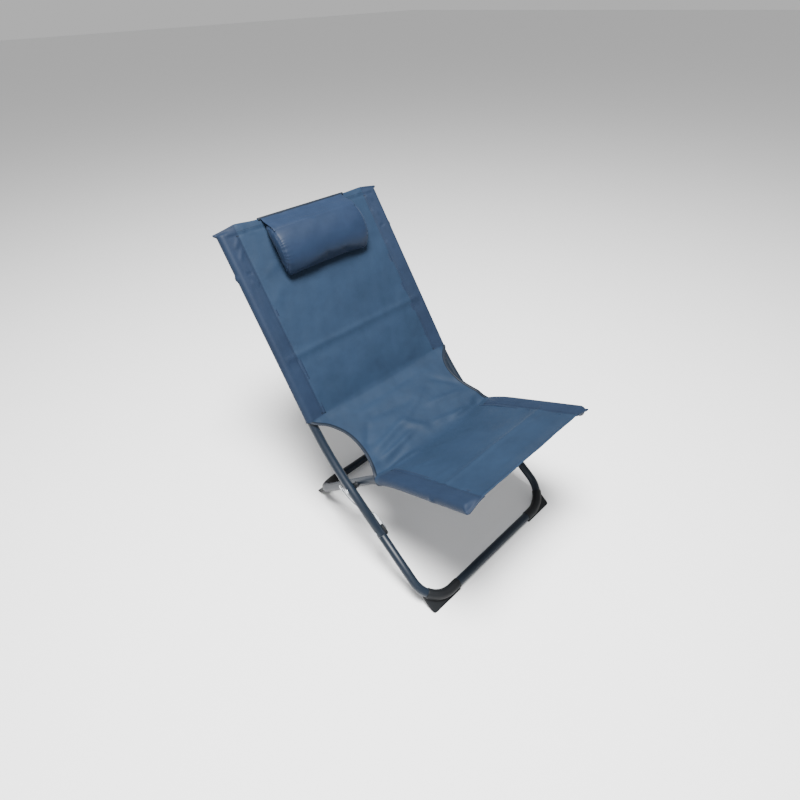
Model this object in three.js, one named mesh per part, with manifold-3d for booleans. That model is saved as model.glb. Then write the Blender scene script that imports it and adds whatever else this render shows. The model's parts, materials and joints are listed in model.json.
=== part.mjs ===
// Folding camp chair: two crossed tube frames joined at a pivot, with a fabric sling.
// Millimetres, +Z up. The sitter faces -Y, and +X is on the right of someone who faces the chair.
// Profiles are drawn in the side plane as (y, z), counted from the front floor bar.

import * as THREE from 'three';
import * as BufferGeometryUtils from 'three/addons/utils/BufferGeometryUtils.js';
import Module from 'manifold-3d';

const wasm = await Module();
wasm.setup();

// ---------- driving dimensions ----------

const TUBE_RADIUS = 12.5;
const LEG_TUBE_RADIUS = 12;
const TUBE_WALL = 1.2;
const GAP = 0.3;
const BAR_HEIGHT = 16.5;            // centre of both floor bars

const BACK_HALF_WIDTH = 262.5;      // tube centres of the outer frame
const FRONT_LEG_ANGLE = 34.8;       // degrees from the floor
const BACK_ANGLE = 55.6;
const LEG_TO_BEND = 487;            // front bar to the corner of the gentle bend
const BEND_TO_TOP = 652;
const BACK_BEND_RADIUS = 625;
const FRONT_CORNER_RADIUS = 80;
const JOINT_DISTANCE = 222;         // front bar to the lower end of the back tube, along the leg

const SEAT_HALF_WIDTH = 226.5;      // tube centres of the inner frame
const REAR_BAR_Y = 537.8;
const REAR_LEG_ANGLE = 42.5;
const REAR_LEG_TO_BEND = 439;
const SEAT_ANGLE = 23;
const BEND_TO_SEAT_FRONT = 300;
const SEAT_BEND_RADIUS = 485;
const REAR_CORNER_RADIUS = 85;

const CROSS_TUBE_RADIUS = 8;
const BACK_CROSS_AT = 537;          // along the back from its bend
const SEAT_CROSS_AT = 208;          // along the seat from its bend

const FOLD_LIMIT = 92;              // degrees that the seat frame turns to close the chair
const STAY_RATIO = 0.15;            // stay turn for each degree of fold
const STAY_HINGE_ARM = 137;         // pivot to the stay's hinge, along the front leg
const STAY_PIN_ARM = 100;           // pivot to the pin in the stay's slot, along the rear leg
const STAY_HALF_WIDTH = 8.5;
const STAY_THICKNESS = 2.5;
const STAY_INNER_X = 242.5;
const RIVET_RADIUS = 3;
const SLOT_CLEARANCE = 0.5;

const CLOTH = 1.2;                  // doubled cloth of a sleeve
const PANEL_LOW = 9.2;              // underside of the sling, above the tubes' centre plane
const PANEL_THICKNESS = 2.2;
const BACK_SLEEVE = { from: 90, to: 664 };
const SEAT_SLEEVE = { from: -16, to: 322 };

const PILLOW = { halfWidth: 158, from: 482, to: 648, height: 60 };

const TUBE_SIDES = 12;

// ---------- finishes ----------

function finish(color, roughness, metalness) {
  return new THREE.MeshStandardMaterial({ color, roughness, metalness });
}
const FRAME_PAINT = finish(0x2f4156, 0.42, 0.3);
const BLACK_PLASTIC = finish(0x2b2f35, 0.6, 0);
const ZINC = finish(0xb9c2c4, 0.35, 1);
const SLING_CLOTH = finish(0x42597a, 0.85, 0);
const PILLOW_CLOTH = finish(0x3c5174, 0.8, 0);

// ---------- side profile ----------

const degrees = THREE.MathUtils.degToRad;
const heading = (angle) => new THREE.Vector2(Math.cos(degrees(angle)), Math.sin(degrees(angle)));
const along = (start, direction, distance) => start.clone().addScaledVector(direction, distance);
const place = (x, profile) => new THREE.Vector3(x, profile.x, profile.y);

const frontBar = new THREE.Vector2(0, BAR_HEIGHT);
const rearBar = new THREE.Vector2(REAR_BAR_Y, BAR_HEIGHT);
const frontLegUp = heading(FRONT_LEG_ANGLE);
const backUp = heading(BACK_ANGLE);
const rearLegUp = heading(180 - REAR_LEG_ANGLE);
const seatForward = heading(180 - SEAT_ANGLE);
const backNormal = heading(BACK_ANGLE + 90);
const seatNormal = heading(90 - SEAT_ANGLE);

const backBend = along(frontBar, frontLegUp, LEG_TO_BEND);
const backTop = along(backBend, backUp, BEND_TO_TOP);
const seatBend = along(rearBar, rearLegUp, REAR_LEG_TO_BEND);
const seatFront = along(seatBend, seatForward, BEND_TO_SEAT_FRONT);

// The legs cross where both lines reach the same point: law of sines on the floor triangle.
const apexAngle = 180 - FRONT_LEG_ANGLE - REAR_LEG_ANGLE;
const frontLegToPivot = REAR_BAR_Y * Math.sin(degrees(REAR_LEG_ANGLE)) / Math.sin(degrees(apexAngle));
const pivot = along(frontBar, frontLegUp, frontLegToPivot);
const stayHinge = along(pivot, frontLegUp, -STAY_HINGE_ARM);
const stayPin = along(pivot, rearLegUp, -STAY_PIN_ARM);

// ---------- solids ----------

// A path held as a list of stations, so that straight runs take one step and bends take many.
class StationPath extends THREE.Curve {
  constructor(stations) {
    super();
    this.stations = stations;
  }

  stationAt(u) {
    return this.stations[Math.round(u * (this.stations.length - 1))];
  }

  getPoint(u, target = new THREE.Vector3()) {
    return target.copy(this.stationAt(u).point);
  }

  getPointAt(u, target) {
    return this.getPoint(u, target);
  }

  getTangent(u, target = new THREE.Vector3()) {
    return target.copy(this.stationAt(u).tangent);
  }

  getTangentAt(u, target) {
    return this.getTangent(u, target);
  }
}

// Stations of a line through corner points, each corner rounded to its radius.
function bentStations(corners, radii, steps) {
  const stations = [];
  const first = corners[1].clone().sub(corners[0]).normalize();
  stations.push({ point: corners[0].clone(), tangent: first });
  for (let i = 1; i < corners.length - 1; i += 1) {
    const incoming = corners[i].clone().sub(corners[i - 1]).normalize();
    const outgoing = corners[i + 1].clone().sub(corners[i]).normalize();
    const turn = incoming.angleTo(outgoing);
    const setback = radii[i] * Math.tan(turn / 2);
    const start = corners[i].clone().addScaledVector(incoming, -setback);
    const axis = incoming.clone().cross(outgoing).normalize();
    const inward = axis.clone().cross(incoming);
    const centre = start.clone().addScaledVector(inward, radii[i]);
    for (let k = 0; k <= steps[i]; k += 1) {
      const angle = turn * k / steps[i];
      const spoke = inward.clone().multiplyScalar(-radii[i]).applyAxisAngle(axis, angle);
      const tangent = incoming.clone().applyAxisAngle(axis, angle);
      stations.push({ point: centre.clone().add(spoke), tangent });
    }
  }
  const last = corners.at(-1).clone().sub(corners.at(-2)).normalize();
  stations.push({ point: corners.at(-1).clone(), tangent: last });
  return stations;
}

// Round pieces are polygons, so a bore is widened, or a plug slimmed, until the flats clear too.
const flatness = Math.cos(Math.PI / TUBE_SIDES);
const clearBore = (radius) => (radius + GAP) / flatness;
const clearPlug = (bore) => bore * flatness - GAP;

const ringOf = (radius, sides) => Array.from({ length: sides }, (_, i) => {
  const angle = 2 * Math.PI * i / sides;
  return new THREE.Vector2(radius * Math.cos(angle), radius * Math.sin(angle));
});

function sweep(stations, outer, inner = 0, sides = TUBE_SIDES) {
  const section = new THREE.Shape(ringOf(outer, sides));
  if (inner > 0) {
    section.holes.push(new THREE.Path(ringOf(inner, sides)));
  }
  const extrudePath = new StationPath(stations);
  return new THREE.ExtrudeGeometry(section, { steps: stations.length - 1, extrudePath });
}

// A closed outline as a shape that runs counter-clockwise.
function shapeOf(outline) {
  return new THREE.Shape(THREE.ShapeUtils.isClockWise(outline) ? outline.toReversed() : outline);
}

// Side-plane outline (y, z) pushed out along X from x = low to x = high.
function sidePlate(shape, low, high) {
  const geometry = new THREE.ExtrudeGeometry(shape, { depth: high - low, bevelEnabled: false });
  const turn = new THREE.Matrix4().makeBasis(
    new THREE.Vector3(0, 1, 0), new THREE.Vector3(0, 0, 1), new THREE.Vector3(1, 0, 0));
  return geometry.applyMatrix4(turn).translate(low, 0, 0);
}

// A turned piece on an axis along X. Its points are (radius, x) on the right side of the chair.
function turned(points, sign, centre, sides = TUBE_SIDES) {
  const profile = points.map(([radius, height]) => new THREE.Vector2(radius, height));
  const geometry = new THREE.LatheGeometry(profile, sides);
  return geometry.rotateZ(-sign * Math.PI / 2).translate(0, centre.x, centre.y);
}

function toSolid(geometry) {
  const bare = geometry.index ? geometry.toNonIndexed() : geometry.clone();
  bare.deleteAttribute('normal');
  bare.deleteAttribute('uv');
  const merged = BufferGeometryUtils.mergeVertices(bare, 1e-3);
  const vertProperties = new Float32Array(merged.attributes.position.array);
  const triVerts = new Uint32Array(merged.index.array);
  return new wasm.Manifold(new wasm.Mesh({ numProp: 3, vertProperties, triVerts }));
}

function fromSolid(solid) {
  const mesh = solid.getMesh();
  const geometry = new THREE.BufferGeometry();
  geometry.setAttribute('position', new THREE.BufferAttribute(mesh.vertProperties, 3));
  geometry.setIndex(new THREE.BufferAttribute(mesh.triVerts, 1));
  geometry.computeVertexNormals();
  return geometry;
}

function cut(geometry, tools) {
  return fromSolid(tools.reduce((solid, tool) => solid.subtract(toSolid(tool)), toSolid(geometry)));
}

// A drill along X through a profile point.
function drill(centre, radius, low, high) {
  const geometry = new THREE.CylinderGeometry(radius, radius, high - low, TUBE_SIDES);
  return geometry.rotateZ(Math.PI / 2).translate((low + high) / 2, centre.x, centre.y);
}

// ---------- the chair ----------

const chair = new THREE.Group();

function add(name, geometry, material) {
  const mesh = new THREE.Mesh(geometry, material);
  mesh.name = name;
  chair.add(mesh);
}

const SIDES = [['left', -1], ['right', 1]];
const spanX = (side, low, high) => (side > 0 ? [low, high] : [-high, -low]);

// Outer frame: two back tubes, each with its own bend, end cap, and coupling into the leg tube.
const crossOnBack = along(backBend, backUp, BACK_CROSS_AT);
const crossOnSeat = along(seatBend, seatForward, SEAT_CROSS_AT);
const jointEnd = along(frontBar, frontLegUp, JOINT_DISTANCE);
const holeRadius = clearBore(RIVET_RADIUS);

const backTubeStations = (x) => bentStations(
  [place(x, jointEnd), place(x, backBend), place(x, backTop)], [0, BACK_BEND_RADIUS, 0], [0, 6, 0]);

for (const [side, sign] of SIDES) {
  const x = sign * BACK_HALF_WIDTH;
  const [low, high] = [x - 2 * TUBE_RADIUS, x + 2 * TUBE_RADIUS];
  const holes = [pivot, stayHinge, crossOnBack].map((centre) => drill(centre, holeRadius, low, high));
  const tube = sweep(backTubeStations(x), TUBE_RADIUS, TUBE_RADIUS - TUBE_WALL);
  add(`back_tube_${side}`, cut(tube, holes), FRAME_PAINT);
}

// Front leg tube: one U from joint to joint, with the floor bar between its corners.
const legTop = along(frontBar, frontLegUp, JOINT_DISTANCE - 2 * GAP);
const frontCorners = [
  place(-BACK_HALF_WIDTH, legTop), place(-BACK_HALF_WIDTH, frontBar),
  place(BACK_HALF_WIDTH, frontBar), place(BACK_HALF_WIDTH, legTop)];
const frontRadii = [0, FRONT_CORNER_RADIUS, FRONT_CORNER_RADIUS, 0];
const frontStations = bentStations(frontCorners, frontRadii, [0, 8, 8, 0]);
add('front_leg_tube', sweep(frontStations, LEG_TUBE_RADIUS, LEG_TUBE_RADIUS - TUBE_WALL), FRAME_PAINT);

// Couplings: short sleeves inside the joint, riveted to the back tube.
const COUPLING = { radius: clearPlug(LEG_TUBE_RADIUS - TUBE_WALL), wall: 1.5, down: 32, up: 34 };
for (const [side, sign] of SIDES) {
  const x = sign * BACK_HALF_WIDTH;
  const ends = [-COUPLING.down, COUPLING.up].map(
    (distance) => place(x, along(jointEnd, frontLegUp, distance)));
  const tangent = ends[1].clone().sub(ends[0]).normalize();
  const stations = ends.map((point) => ({ point, tangent }));
  const tube = sweep(stations, COUPLING.radius, COUPLING.radius - COUPLING.wall);
  const hole = drill(stayHinge, holeRadius, x - TUBE_RADIUS, x + TUBE_RADIUS);
  add(`leg_coupling_${side}`, cut(tube, [hole]), ZINC);
}

// Inner frame: one tube makes both seat sides, both rear legs and the rear floor bar.
const seatCorners = [
  place(-SEAT_HALF_WIDTH, seatFront), place(-SEAT_HALF_WIDTH, seatBend), place(-SEAT_HALF_WIDTH, rearBar),
  place(SEAT_HALF_WIDTH, rearBar), place(SEAT_HALF_WIDTH, seatBend), place(SEAT_HALF_WIDTH, seatFront)];
const seatRadii = [0, SEAT_BEND_RADIUS, REAR_CORNER_RADIUS, REAR_CORNER_RADIUS, SEAT_BEND_RADIUS, 0];
const seatStations = bentStations(seatCorners, seatRadii, [0, 6, 8, 8, 6, 0]);
const seatDrill = SEAT_HALF_WIDTH + 2 * TUBE_RADIUS;
const seatHoles = [pivot, stayPin, crossOnSeat].map(
  (centre) => drill(centre, holeRadius, -seatDrill, seatDrill));
const seatTube = sweep(seatStations, TUBE_RADIUS, TUBE_RADIUS - TUBE_WALL);
add('seat_tube', cut(seatTube, seatHoles), FRAME_PAINT);

// Cross tubes stand between the side tubes, each held by a screw at both ends.
function crossTube(name, centre, halfWidth) {
  const reach = halfWidth - TUBE_RADIUS - GAP;
  const tangent = new THREE.Vector3(1, 0, 0);
  const ends = [-reach, reach].map((x) => ({ point: place(x, centre), tangent }));
  add(name, sweep(ends, CROSS_TUBE_RADIUS, CROSS_TUBE_RADIUS - TUBE_WALL), FRAME_PAINT);
  for (const [side, sign] of SIDES) {
    const tip = halfWidth - TUBE_RADIUS - 18;
    const head = halfWidth + TUBE_RADIUS + GAP;
    const profile = [
      [0, tip], [RIVET_RADIUS, tip], [RIVET_RADIUS, head],
      [5.5, head], [5, head + 1.4], [3, head + 2.2], [0, head + 2.4]];
    add(`${name.replace('_tube', '_screw')}_${side}`, turned(profile, sign, centre), ZINC);
  }
}
crossTube('back_cross_tube', crossOnBack, BACK_HALF_WIDTH);
crossTube('seat_cross_tube', crossOnSeat, SEAT_HALF_WIDTH);

// Caps that close the open tube ends inside the sling.
const CAP = { plug: 14, flange: 3.2, dome: 2 };
function endCap(name, x, end, direction) {
  const plug = clearPlug(TUBE_RADIUS - TUBE_WALL);
  const profile = [
    [0, -CAP.plug], [plug - 1, -CAP.plug], [plug, 1 - CAP.plug], [plug, GAP],
    [TUBE_RADIUS, GAP], [TUBE_RADIUS, CAP.flange], [TUBE_RADIUS - 2.5, CAP.flange + CAP.dome],
    [0, CAP.flange + CAP.dome + 0.6]].map(([radius, height]) => new THREE.Vector2(radius, height));
  const cap = new THREE.LatheGeometry(profile, TUBE_SIDES);
  const upright = new THREE.Vector3(0, 1, 0);
  cap.applyQuaternion(new THREE.Quaternion().setFromUnitVectors(upright, place(0, direction)));
  const at = place(x, end);
  add(name, cap.translate(at.x, at.y, at.z), BLACK_PLASTIC);
}
for (const [side, sign] of SIDES) {
  endCap(`back_cap_${side}`, sign * BACK_HALF_WIDTH, backTop, backUp);
  endCap(`seat_cap_${side}`, sign * SEAT_HALF_WIDTH, seatFront, seatForward);
}

// Corner feet: a sleeve round the tube's corner, and a fin that carries on the lines of the leg and
// the floor bar to a square corner. The fin lies under the tubes' plane and is cut flat for a sole.
const FOOT = { sleeve: 2, length: 106, reach: 13, fin: 8, climb: 0.62 };
function cornerFoot(name, sign, halfWidth, bar, outward, legAngle, tubeRadius, cornerRadius) {
  const legUp = new THREE.Vector2(-outward * Math.cos(degrees(legAngle)), Math.sin(degrees(legAngle)));
  const inner = halfWidth - FOOT.length;
  const corners = [
    place(sign * inner, bar), place(sign * halfWidth, bar), place(sign * halfWidth, along(bar, legUp, 200))];
  const bend = bentStations(corners, [0, cornerRadius, 0], [0, 8, 0]);
  const covered = bend.slice(0, 2 + Math.round(FOOT.climb * 8));
  const sleeve = toSolid(sweep(covered, tubeRadius + FOOT.sleeve));
  const tube = toSolid(sweep(bend, clearBore(tubeRadius)));

  // The fin's outline, across the chair and up the leg from the bar's centre.
  const climbAngle = FOOT.climb * Math.PI / 2;
  const top = cornerRadius * (1 - Math.cos(climbAngle));
  const topX = halfWidth - cornerRadius + (cornerRadius + tubeRadius) * Math.sin(climbAngle);
  const edge = halfWidth - 1;
  const outline = new THREE.Shape();
  outline.moveTo(inner, -60);
  outline.lineTo(edge, -60);
  outline.lineTo(edge, top - 16);
  outline.lineTo(topX, top);
  outline.lineTo(topX - 12, top - 4);
  outline.lineTo(halfWidth - cornerRadius, 0);
  outline.lineTo(inner, 0);
  const fin = new THREE.ExtrudeGeometry(outline, { depth: FOOT.fin, bevelEnabled: false });
  // Its upper face meets the floor at the reach, and lies this far under the leg's centre line.
  const slope = degrees(legAngle);
  const under = BAR_HEIGHT * Math.cos(slope) - FOOT.reach * Math.sin(slope);
  const across = new THREE.Vector3(sign, 0, 0);
  const thickness = across.clone().cross(place(0, legUp));
  const turn = new THREE.Matrix4().makeBasis(across, place(0, legUp), thickness);
  fin.translate(0, 0, thickness.z < 0 ? under : -under - FOOT.fin).applyMatrix4(turn);
  const block = toSolid(new THREE.BoxGeometry(400, 400, 100).translate(sign * halfWidth, bar.x, -50));
  const foot = toSolid(fin.translate(0, bar.x, bar.y)).add(sleeve).subtract(tube).subtract(block);
  add(name, fromSolid(foot), BLACK_PLASTIC);
}
for (const [side, sign] of SIDES) {
  cornerFoot(`front_foot_${side}`, sign, BACK_HALF_WIDTH, frontBar, -1, FRONT_LEG_ANGLE,
    LEG_TUBE_RADIUS, FRONT_CORNER_RADIUS);
  cornerFoot(`rear_foot_${side}`, sign, SEAT_HALF_WIDTH, rearBar, 1, REAR_LEG_ANGLE,
    TUBE_RADIUS, REAR_CORNER_RADIUS);
}

// Pivot: a bolt through both frames, a spacer between them, and a lock nut inside.
const outerFace = BACK_HALF_WIDTH + TUBE_RADIUS;
const gapOuter = BACK_HALF_WIDTH - TUBE_RADIUS - GAP;
const gapInner = SEAT_HALF_WIDTH + TUBE_RADIUS + GAP;
const innerFace = SEAT_HALF_WIDTH - TUBE_RADIUS;
const NUT = { thickness: 6, radius: 6.5 };

for (const [side, sign] of SIDES) {
  const boltProfile = [
    [0, innerFace - NUT.thickness - 3], [RIVET_RADIUS, innerFace - NUT.thickness - 3],
    [RIVET_RADIUS, outerFace + GAP], [7, outerFace + GAP], [6, outerFace + 1.6], [3.5, outerFace + 2.6],
    [0, outerFace + 3]];
  add(`pivot_bolt_${side}`, turned(boltProfile, sign, pivot), ZINC);

  const spacerProfile = [
    [holeRadius, gapInner], [9.5, gapInner], [9.5, gapInner + 2], [8, gapInner + 3.2],
    [8, gapOuter - 3.2], [9.5, gapOuter - 2], [9.5, gapOuter], [holeRadius, gapOuter],
    [holeRadius, gapInner]];
  add(`pivot_spacer_${side}`, turned(spacerProfile, sign, pivot), BLACK_PLASTIC);

  const bore = (RIVET_RADIUS + GAP) / Math.cos(Math.PI / 6);
  const nutProfile = [
    [bore, innerFace - NUT.thickness], [NUT.radius, innerFace - NUT.thickness],
    [NUT.radius, innerFace - GAP], [bore, innerFace - GAP], [bore, innerFace - NUT.thickness]];
  add(`pivot_nut_${side}`, turned(nutProfile, sign, pivot, 6), ZINC);
}

// Stays: slotted bars that stop the legs from spreading. The slot's centre line is the path that the
// pin takes across the stay while the chair folds, so the pin never leaves it.
function pinInStay(fold) {
  const arm = heading(-REAR_LEG_ANGLE - fold).multiplyScalar(STAY_PIN_ARM);
  const fromHinge = pivot.clone().add(arm).sub(stayHinge);
  return fromHinge.rotateAround(new THREE.Vector2(), degrees(STAY_RATIO * fold)).add(stayHinge);
}

// Outline at a constant distance from a smooth line of points, with round ends.
function bandOutline(points, reach, endSteps) {
  const directions = points.map((_, i) => {
    const from = points[Math.max(i - 1, 0)];
    const to = points[Math.min(i + 1, points.length - 1)];
    return to.clone().sub(from).normalize();
  });
  const ring = [];
  const spoke = (centre, direction, angle) => {
    const offset = direction.clone().rotateAround(new THREE.Vector2(), angle).multiplyScalar(reach);
    ring.push(centre.clone().add(offset));
  };
  points.forEach((point, i) => spoke(point, directions[i], -Math.PI / 2));
  for (let k = 1; k < endSteps; k += 1) {
    spoke(points.at(-1), directions.at(-1), -Math.PI / 2 + Math.PI * k / endSteps);
  }
  points.toReversed().forEach((point, i) => spoke(point, directions.at(-1 - i), Math.PI / 2));
  for (let k = 1; k < endSteps; k += 1) {
    spoke(points[0], directions[0], Math.PI / 2 + Math.PI * k / endSteps);
  }
  return ring;
}

const SLOT_STEPS = 12;
const slotLine = Array.from(
  { length: SLOT_STEPS + 1 }, (_, i) => pinInStay(FOLD_LIMIT * (1 - i / SLOT_STEPS)));
const stayOutline = bandOutline([stayHinge, ...slotLine], STAY_HALF_WIDTH, 8);
const slotOutline = bandOutline(slotLine, RIVET_RADIUS + SLOT_CLEARANCE, 6);
const eyeOutline = ringOf(holeRadius, TUBE_SIDES).map((point) => point.add(stayHinge));

for (const [side, sign] of SIDES) {
  const shape = new THREE.Shape(stayOutline);
  shape.holes.push(new THREE.Path(slotOutline), new THREE.Path(eyeOutline));
  const [low, high] = spanX(sign, STAY_INNER_X, STAY_INNER_X + STAY_THICKNESS);
  add(`stay_${side}`, sidePlate(shape, low, high), ZINC);

  const rivetProfile = [
    [0, STAY_INNER_X - 2.4], [4.4, STAY_INNER_X - 2], [5.5, STAY_INNER_X - GAP],
    [RIVET_RADIUS, STAY_INNER_X - GAP], [RIVET_RADIUS, outerFace + GAP], [5.5, outerFace + GAP],
    [4.4, outerFace + 1.6], [0, outerFace + 2]];
  add(`stay_rivet_${side}`, turned(rivetProfile, sign, stayHinge), ZINC);

  const stayOuterX = STAY_INNER_X + STAY_THICKNESS;
  const pinProfile = [
    [0, innerFace - 2.4], [5, innerFace - 2], [5.5, innerFace - GAP], [RIVET_RADIUS, innerFace - GAP],
    [RIVET_RADIUS, stayOuterX + GAP], [5.5, stayOuterX + GAP], [4.6, stayOuterX + 1.8],
    [0, stayOuterX + 2.2]];
  add(`stay_pin_${side}`, turned(pinProfile, sign, stayPin), ZINC);
}

// Joint collars: plastic bosses on the inner side of each leg joint, under the stay's eye.
const COLLAR = { ahead: 10, behind: 3, reach: 9 };
for (const [side, sign] of SIDES) {
  const x = sign * BACK_HALF_WIDTH;
  const middle = [-COLLAR.ahead, 0, COLLAR.behind].map(
    (distance) => along(stayHinge, frontLegUp, distance));
  const outline = bandOutline(middle, COLLAR.reach, 6);
  const [low, high] = spanX(sign, STAY_INNER_X + STAY_THICKNESS + GAP, BACK_HALF_WIDTH);
  const block = sidePlate(new THREE.Shape(outline), low, high);
  const ends = [-90, 90].map((distance) => place(x, along(stayHinge, frontLegUp, distance)));
  const tangent = ends[1].clone().sub(ends[0]).normalize();
  const bore = sweep(ends.map((point) => ({ point, tangent })), clearBore(TUBE_RADIUS));
  const hole = drill(stayHinge, holeRadius, low - 1, high + 1);
  add(`joint_collar_${side}`, cut(block, [bore, hole]), BLACK_PLASTIC);
}

// ---------- the sling ----------

// Stations of a bent line between two distances that are counted from its rounded corner point.
function partOf(stations, corner, direction, from, to) {
  const distanceOf = (station) => station.point.clone().sub(corner).dot(direction);
  const inside = stations.filter((station) => distanceOf(station) > from && distanceOf(station) < to);
  const endAt = (target) => {
    const next = stations.findIndex((station) => distanceOf(station) >= target);
    if (next < 1) {
      const last = stations.at(-1);
      const extra = target - distanceOf(last);
      return { point: last.point.clone().addScaledVector(last.tangent, extra), tangent: last.tangent };
    }
    const [a, b] = [stations[next - 1], stations[next]];
    const share = (target - distanceOf(a)) / (distanceOf(b) - distanceOf(a));
    return { point: a.point.clone().lerp(b.point, share), tangent: a.tangent.clone().lerp(b.tangent, share) };
  };
  return [endAt(from), ...inside, endAt(to)];
}

for (const [side, sign] of SIDES) {
  const x = sign * BACK_HALF_WIDTH;
  const backPart = partOf(backTubeStations(x), place(x, backBend), place(0, backUp),
    BACK_SLEEVE.from, BACK_SLEEVE.to);
  const inner = clearBore(TUBE_RADIUS);
  const backSleeve = sweep(backPart, inner + CLOTH, inner);
  const [slitLow, slitHigh] = spanX(sign, BACK_HALF_WIDTH - 20, BACK_HALF_WIDTH);
  const backSlit = drill(crossOnBack, CROSS_TUBE_RADIUS + GAP, slitLow, slitHigh);
  const [headLow, headHigh] = spanX(sign, BACK_HALF_WIDTH, BACK_HALF_WIDTH + 20);
  const backEyelet = drill(crossOnBack, 6, headLow, headHigh);
  add(`back_sleeve_${side}`, cut(backSleeve, [backSlit, backEyelet]), SLING_CLOTH);

  const seatX = sign * SEAT_HALF_WIDTH;
  const oneSide = bentStations(
    [place(seatX, along(seatBend, rearLegUp, -150)), place(seatX, seatBend), place(seatX, seatFront)],
    [0, SEAT_BEND_RADIUS, 0], [0, 6, 0]);
  const seatPart = partOf(oneSide, place(seatX, seatBend), place(0, seatForward),
    SEAT_SLEEVE.from, SEAT_SLEEVE.to);
  const seatSleeve = sweep(seatPart, inner + CLOTH, inner);
  const [lowX, highX] = spanX(sign, SEAT_HALF_WIDTH - 20, SEAT_HALF_WIDTH);
  const seatSlit = drill(crossOnSeat, CROSS_TUBE_RADIUS + GAP, lowX, highX);
  const [outLow, outHigh] = spanX(sign, SEAT_HALF_WIDTH, SEAT_HALF_WIDTH + 20);
  const seatEyelet = drill(crossOnSeat, 6, outLow, outHigh);
  add(`seat_sleeve_${side}`, cut(seatSleeve, [seatSlit, seatEyelet]), SLING_CLOTH);
}

// Flat cloth between two distances along a line, lifted off that line along its normal.
function flatPanel(name, start, direction, normal, from, to, halfWidth, material) {
  const corners = [[from, PANEL_LOW], [to, PANEL_LOW], [to, PANEL_LOW + PANEL_THICKNESS],
    [from, PANEL_LOW + PANEL_THICKNESS]];
  const outline = corners.map(([distance, lift]) => along(along(start, direction, distance), normal, lift));
  add(name, sidePlate(shapeOf(outline), -halfWidth, halfWidth), material);
}

const BACK_PANEL_FROM = 112;
const SEAT_PANEL_FROM = 6;
flatPanel('back_panel', backBend, backUp, backNormal, BACK_PANEL_FROM, BACK_SLEEVE.to,
  BACK_HALF_WIDTH - TUBE_RADIUS - 1, SLING_CLOTH);
flatPanel('seat_panel', seatBend, seatForward, seatNormal, SEAT_PANEL_FROM, SEAT_SLEEVE.to,
  SEAT_HALF_WIDTH - TUBE_RADIUS - 1, SLING_CLOTH);

// The hip cloth joins the two panels, and is cut away at both sides.
const HIP = { rearHalfWidth: 240, waist: 194, frontHalfWidth: 205, spare: 1.5 };
const hipRear = along(along(backBend, backUp, BACK_PANEL_FROM), backNormal, PANEL_LOW);
const hipFront = along(along(seatBend, seatForward, SEAT_PANEL_FROM), seatNormal, PANEL_LOW);
const hipDirection = hipFront.clone().sub(hipRear).normalize();
const hipLength = hipFront.distanceTo(hipRear);
const hipOutline = new THREE.Shape();
hipOutline.moveTo(-HIP.rearHalfWidth, HIP.spare);
hipOutline.lineTo(HIP.rearHalfWidth, HIP.spare);
hipOutline.quadraticCurveTo(HIP.waist, hipLength / 2, HIP.frontHalfWidth, hipLength - HIP.spare);
hipOutline.lineTo(-HIP.frontHalfWidth, hipLength - HIP.spare);
hipOutline.quadraticCurveTo(-HIP.waist, hipLength / 2, -HIP.rearHalfWidth, HIP.spare);
const hipCloth = new THREE.ExtrudeGeometry(
  hipOutline, { depth: PANEL_THICKNESS, bevelEnabled: false, curveSegments: 6 });
const hipAxis = place(0, hipDirection);
const hipUp = new THREE.Vector3(1, 0, 0).cross(hipAxis);
const hipTurn = new THREE.Matrix4().makeBasis(new THREE.Vector3(1, 0, 0), hipAxis, hipUp);
hipCloth.translate(0, 0, -PANEL_THICKNESS / 2).applyMatrix4(hipTurn);
add('hip_panel', hipCloth.translate(0, hipRear.x, hipRear.y), SLING_CLOTH);

// Head pillow: a bolster with a flat back, hung from a flap that is sewn along the top hem.
const PILLOW_LIFT = PANEL_LOW + PANEL_THICKNESS + 1;
const pillowPoint = (distance, lift) => along(along(backBend, backUp, distance), backNormal, lift);
const pillowOutline = [];
const PILLOW_STEPS = 14;
for (let i = 0; i <= PILLOW_STEPS; i += 1) {
  const angle = Math.PI * i / PILLOW_STEPS;
  const middle = (PILLOW.from + PILLOW.to) / 2;
  const distance = middle - Math.cos(angle) * (PILLOW.to - PILLOW.from) / 2;
  const lift = PILLOW_LIFT + PILLOW.height * Math.sin(angle) ** 0.7;
  pillowOutline.push(pillowPoint(distance, lift));
}
add('head_pillow', sidePlate(shapeOf(pillowOutline), -PILLOW.halfWidth, PILLOW.halfWidth), PILLOW_CLOTH);

const FLAP = { halfWidth: 148, thickness: 1.6, top: BACK_SLEEVE.to + 6 };
const flapCorners = [
  [PILLOW.to + 1, PILLOW_LIFT], [FLAP.top, PILLOW_LIFT], [FLAP.top, PILLOW_LIFT + FLAP.thickness],
  [PILLOW.to + 1, PILLOW_LIFT + FLAP.thickness]].map(([distance, lift]) => pillowPoint(distance, lift));
add('pillow_flap', sidePlate(shapeOf(flapCorners), -FLAP.halfWidth, FLAP.halfWidth), PILLOW_CLOTH);

// ---------- origin: middle of the footprint, on the floor ----------

const box = new THREE.Box3().setFromObject(chair);
const middle = box.getCenter(new THREE.Vector3());
chair.position.set(-middle.x, -middle.y, -box.min.z);
chair.updateMatrixWorld(true);

export default chair;
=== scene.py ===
# %% [markdown]
# # A low folding camp chair
# The chair is two crossed tube frames that turn on a pivot at each side, with one long piece of
# coated cloth slung between them and a small pillow that hangs from the top hem. The scene starts
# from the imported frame, which holds every place and every moving body, and gives each piece its
# real surface. Everything is in metres, +Z is up, and the sitter faces -Y.

import json
import math
from contextlib import contextmanager

import bmesh
import bpy
import numpy as np
from mathutils import Matrix, Vector
from mathutils.bvhtree import BVHTree


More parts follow.
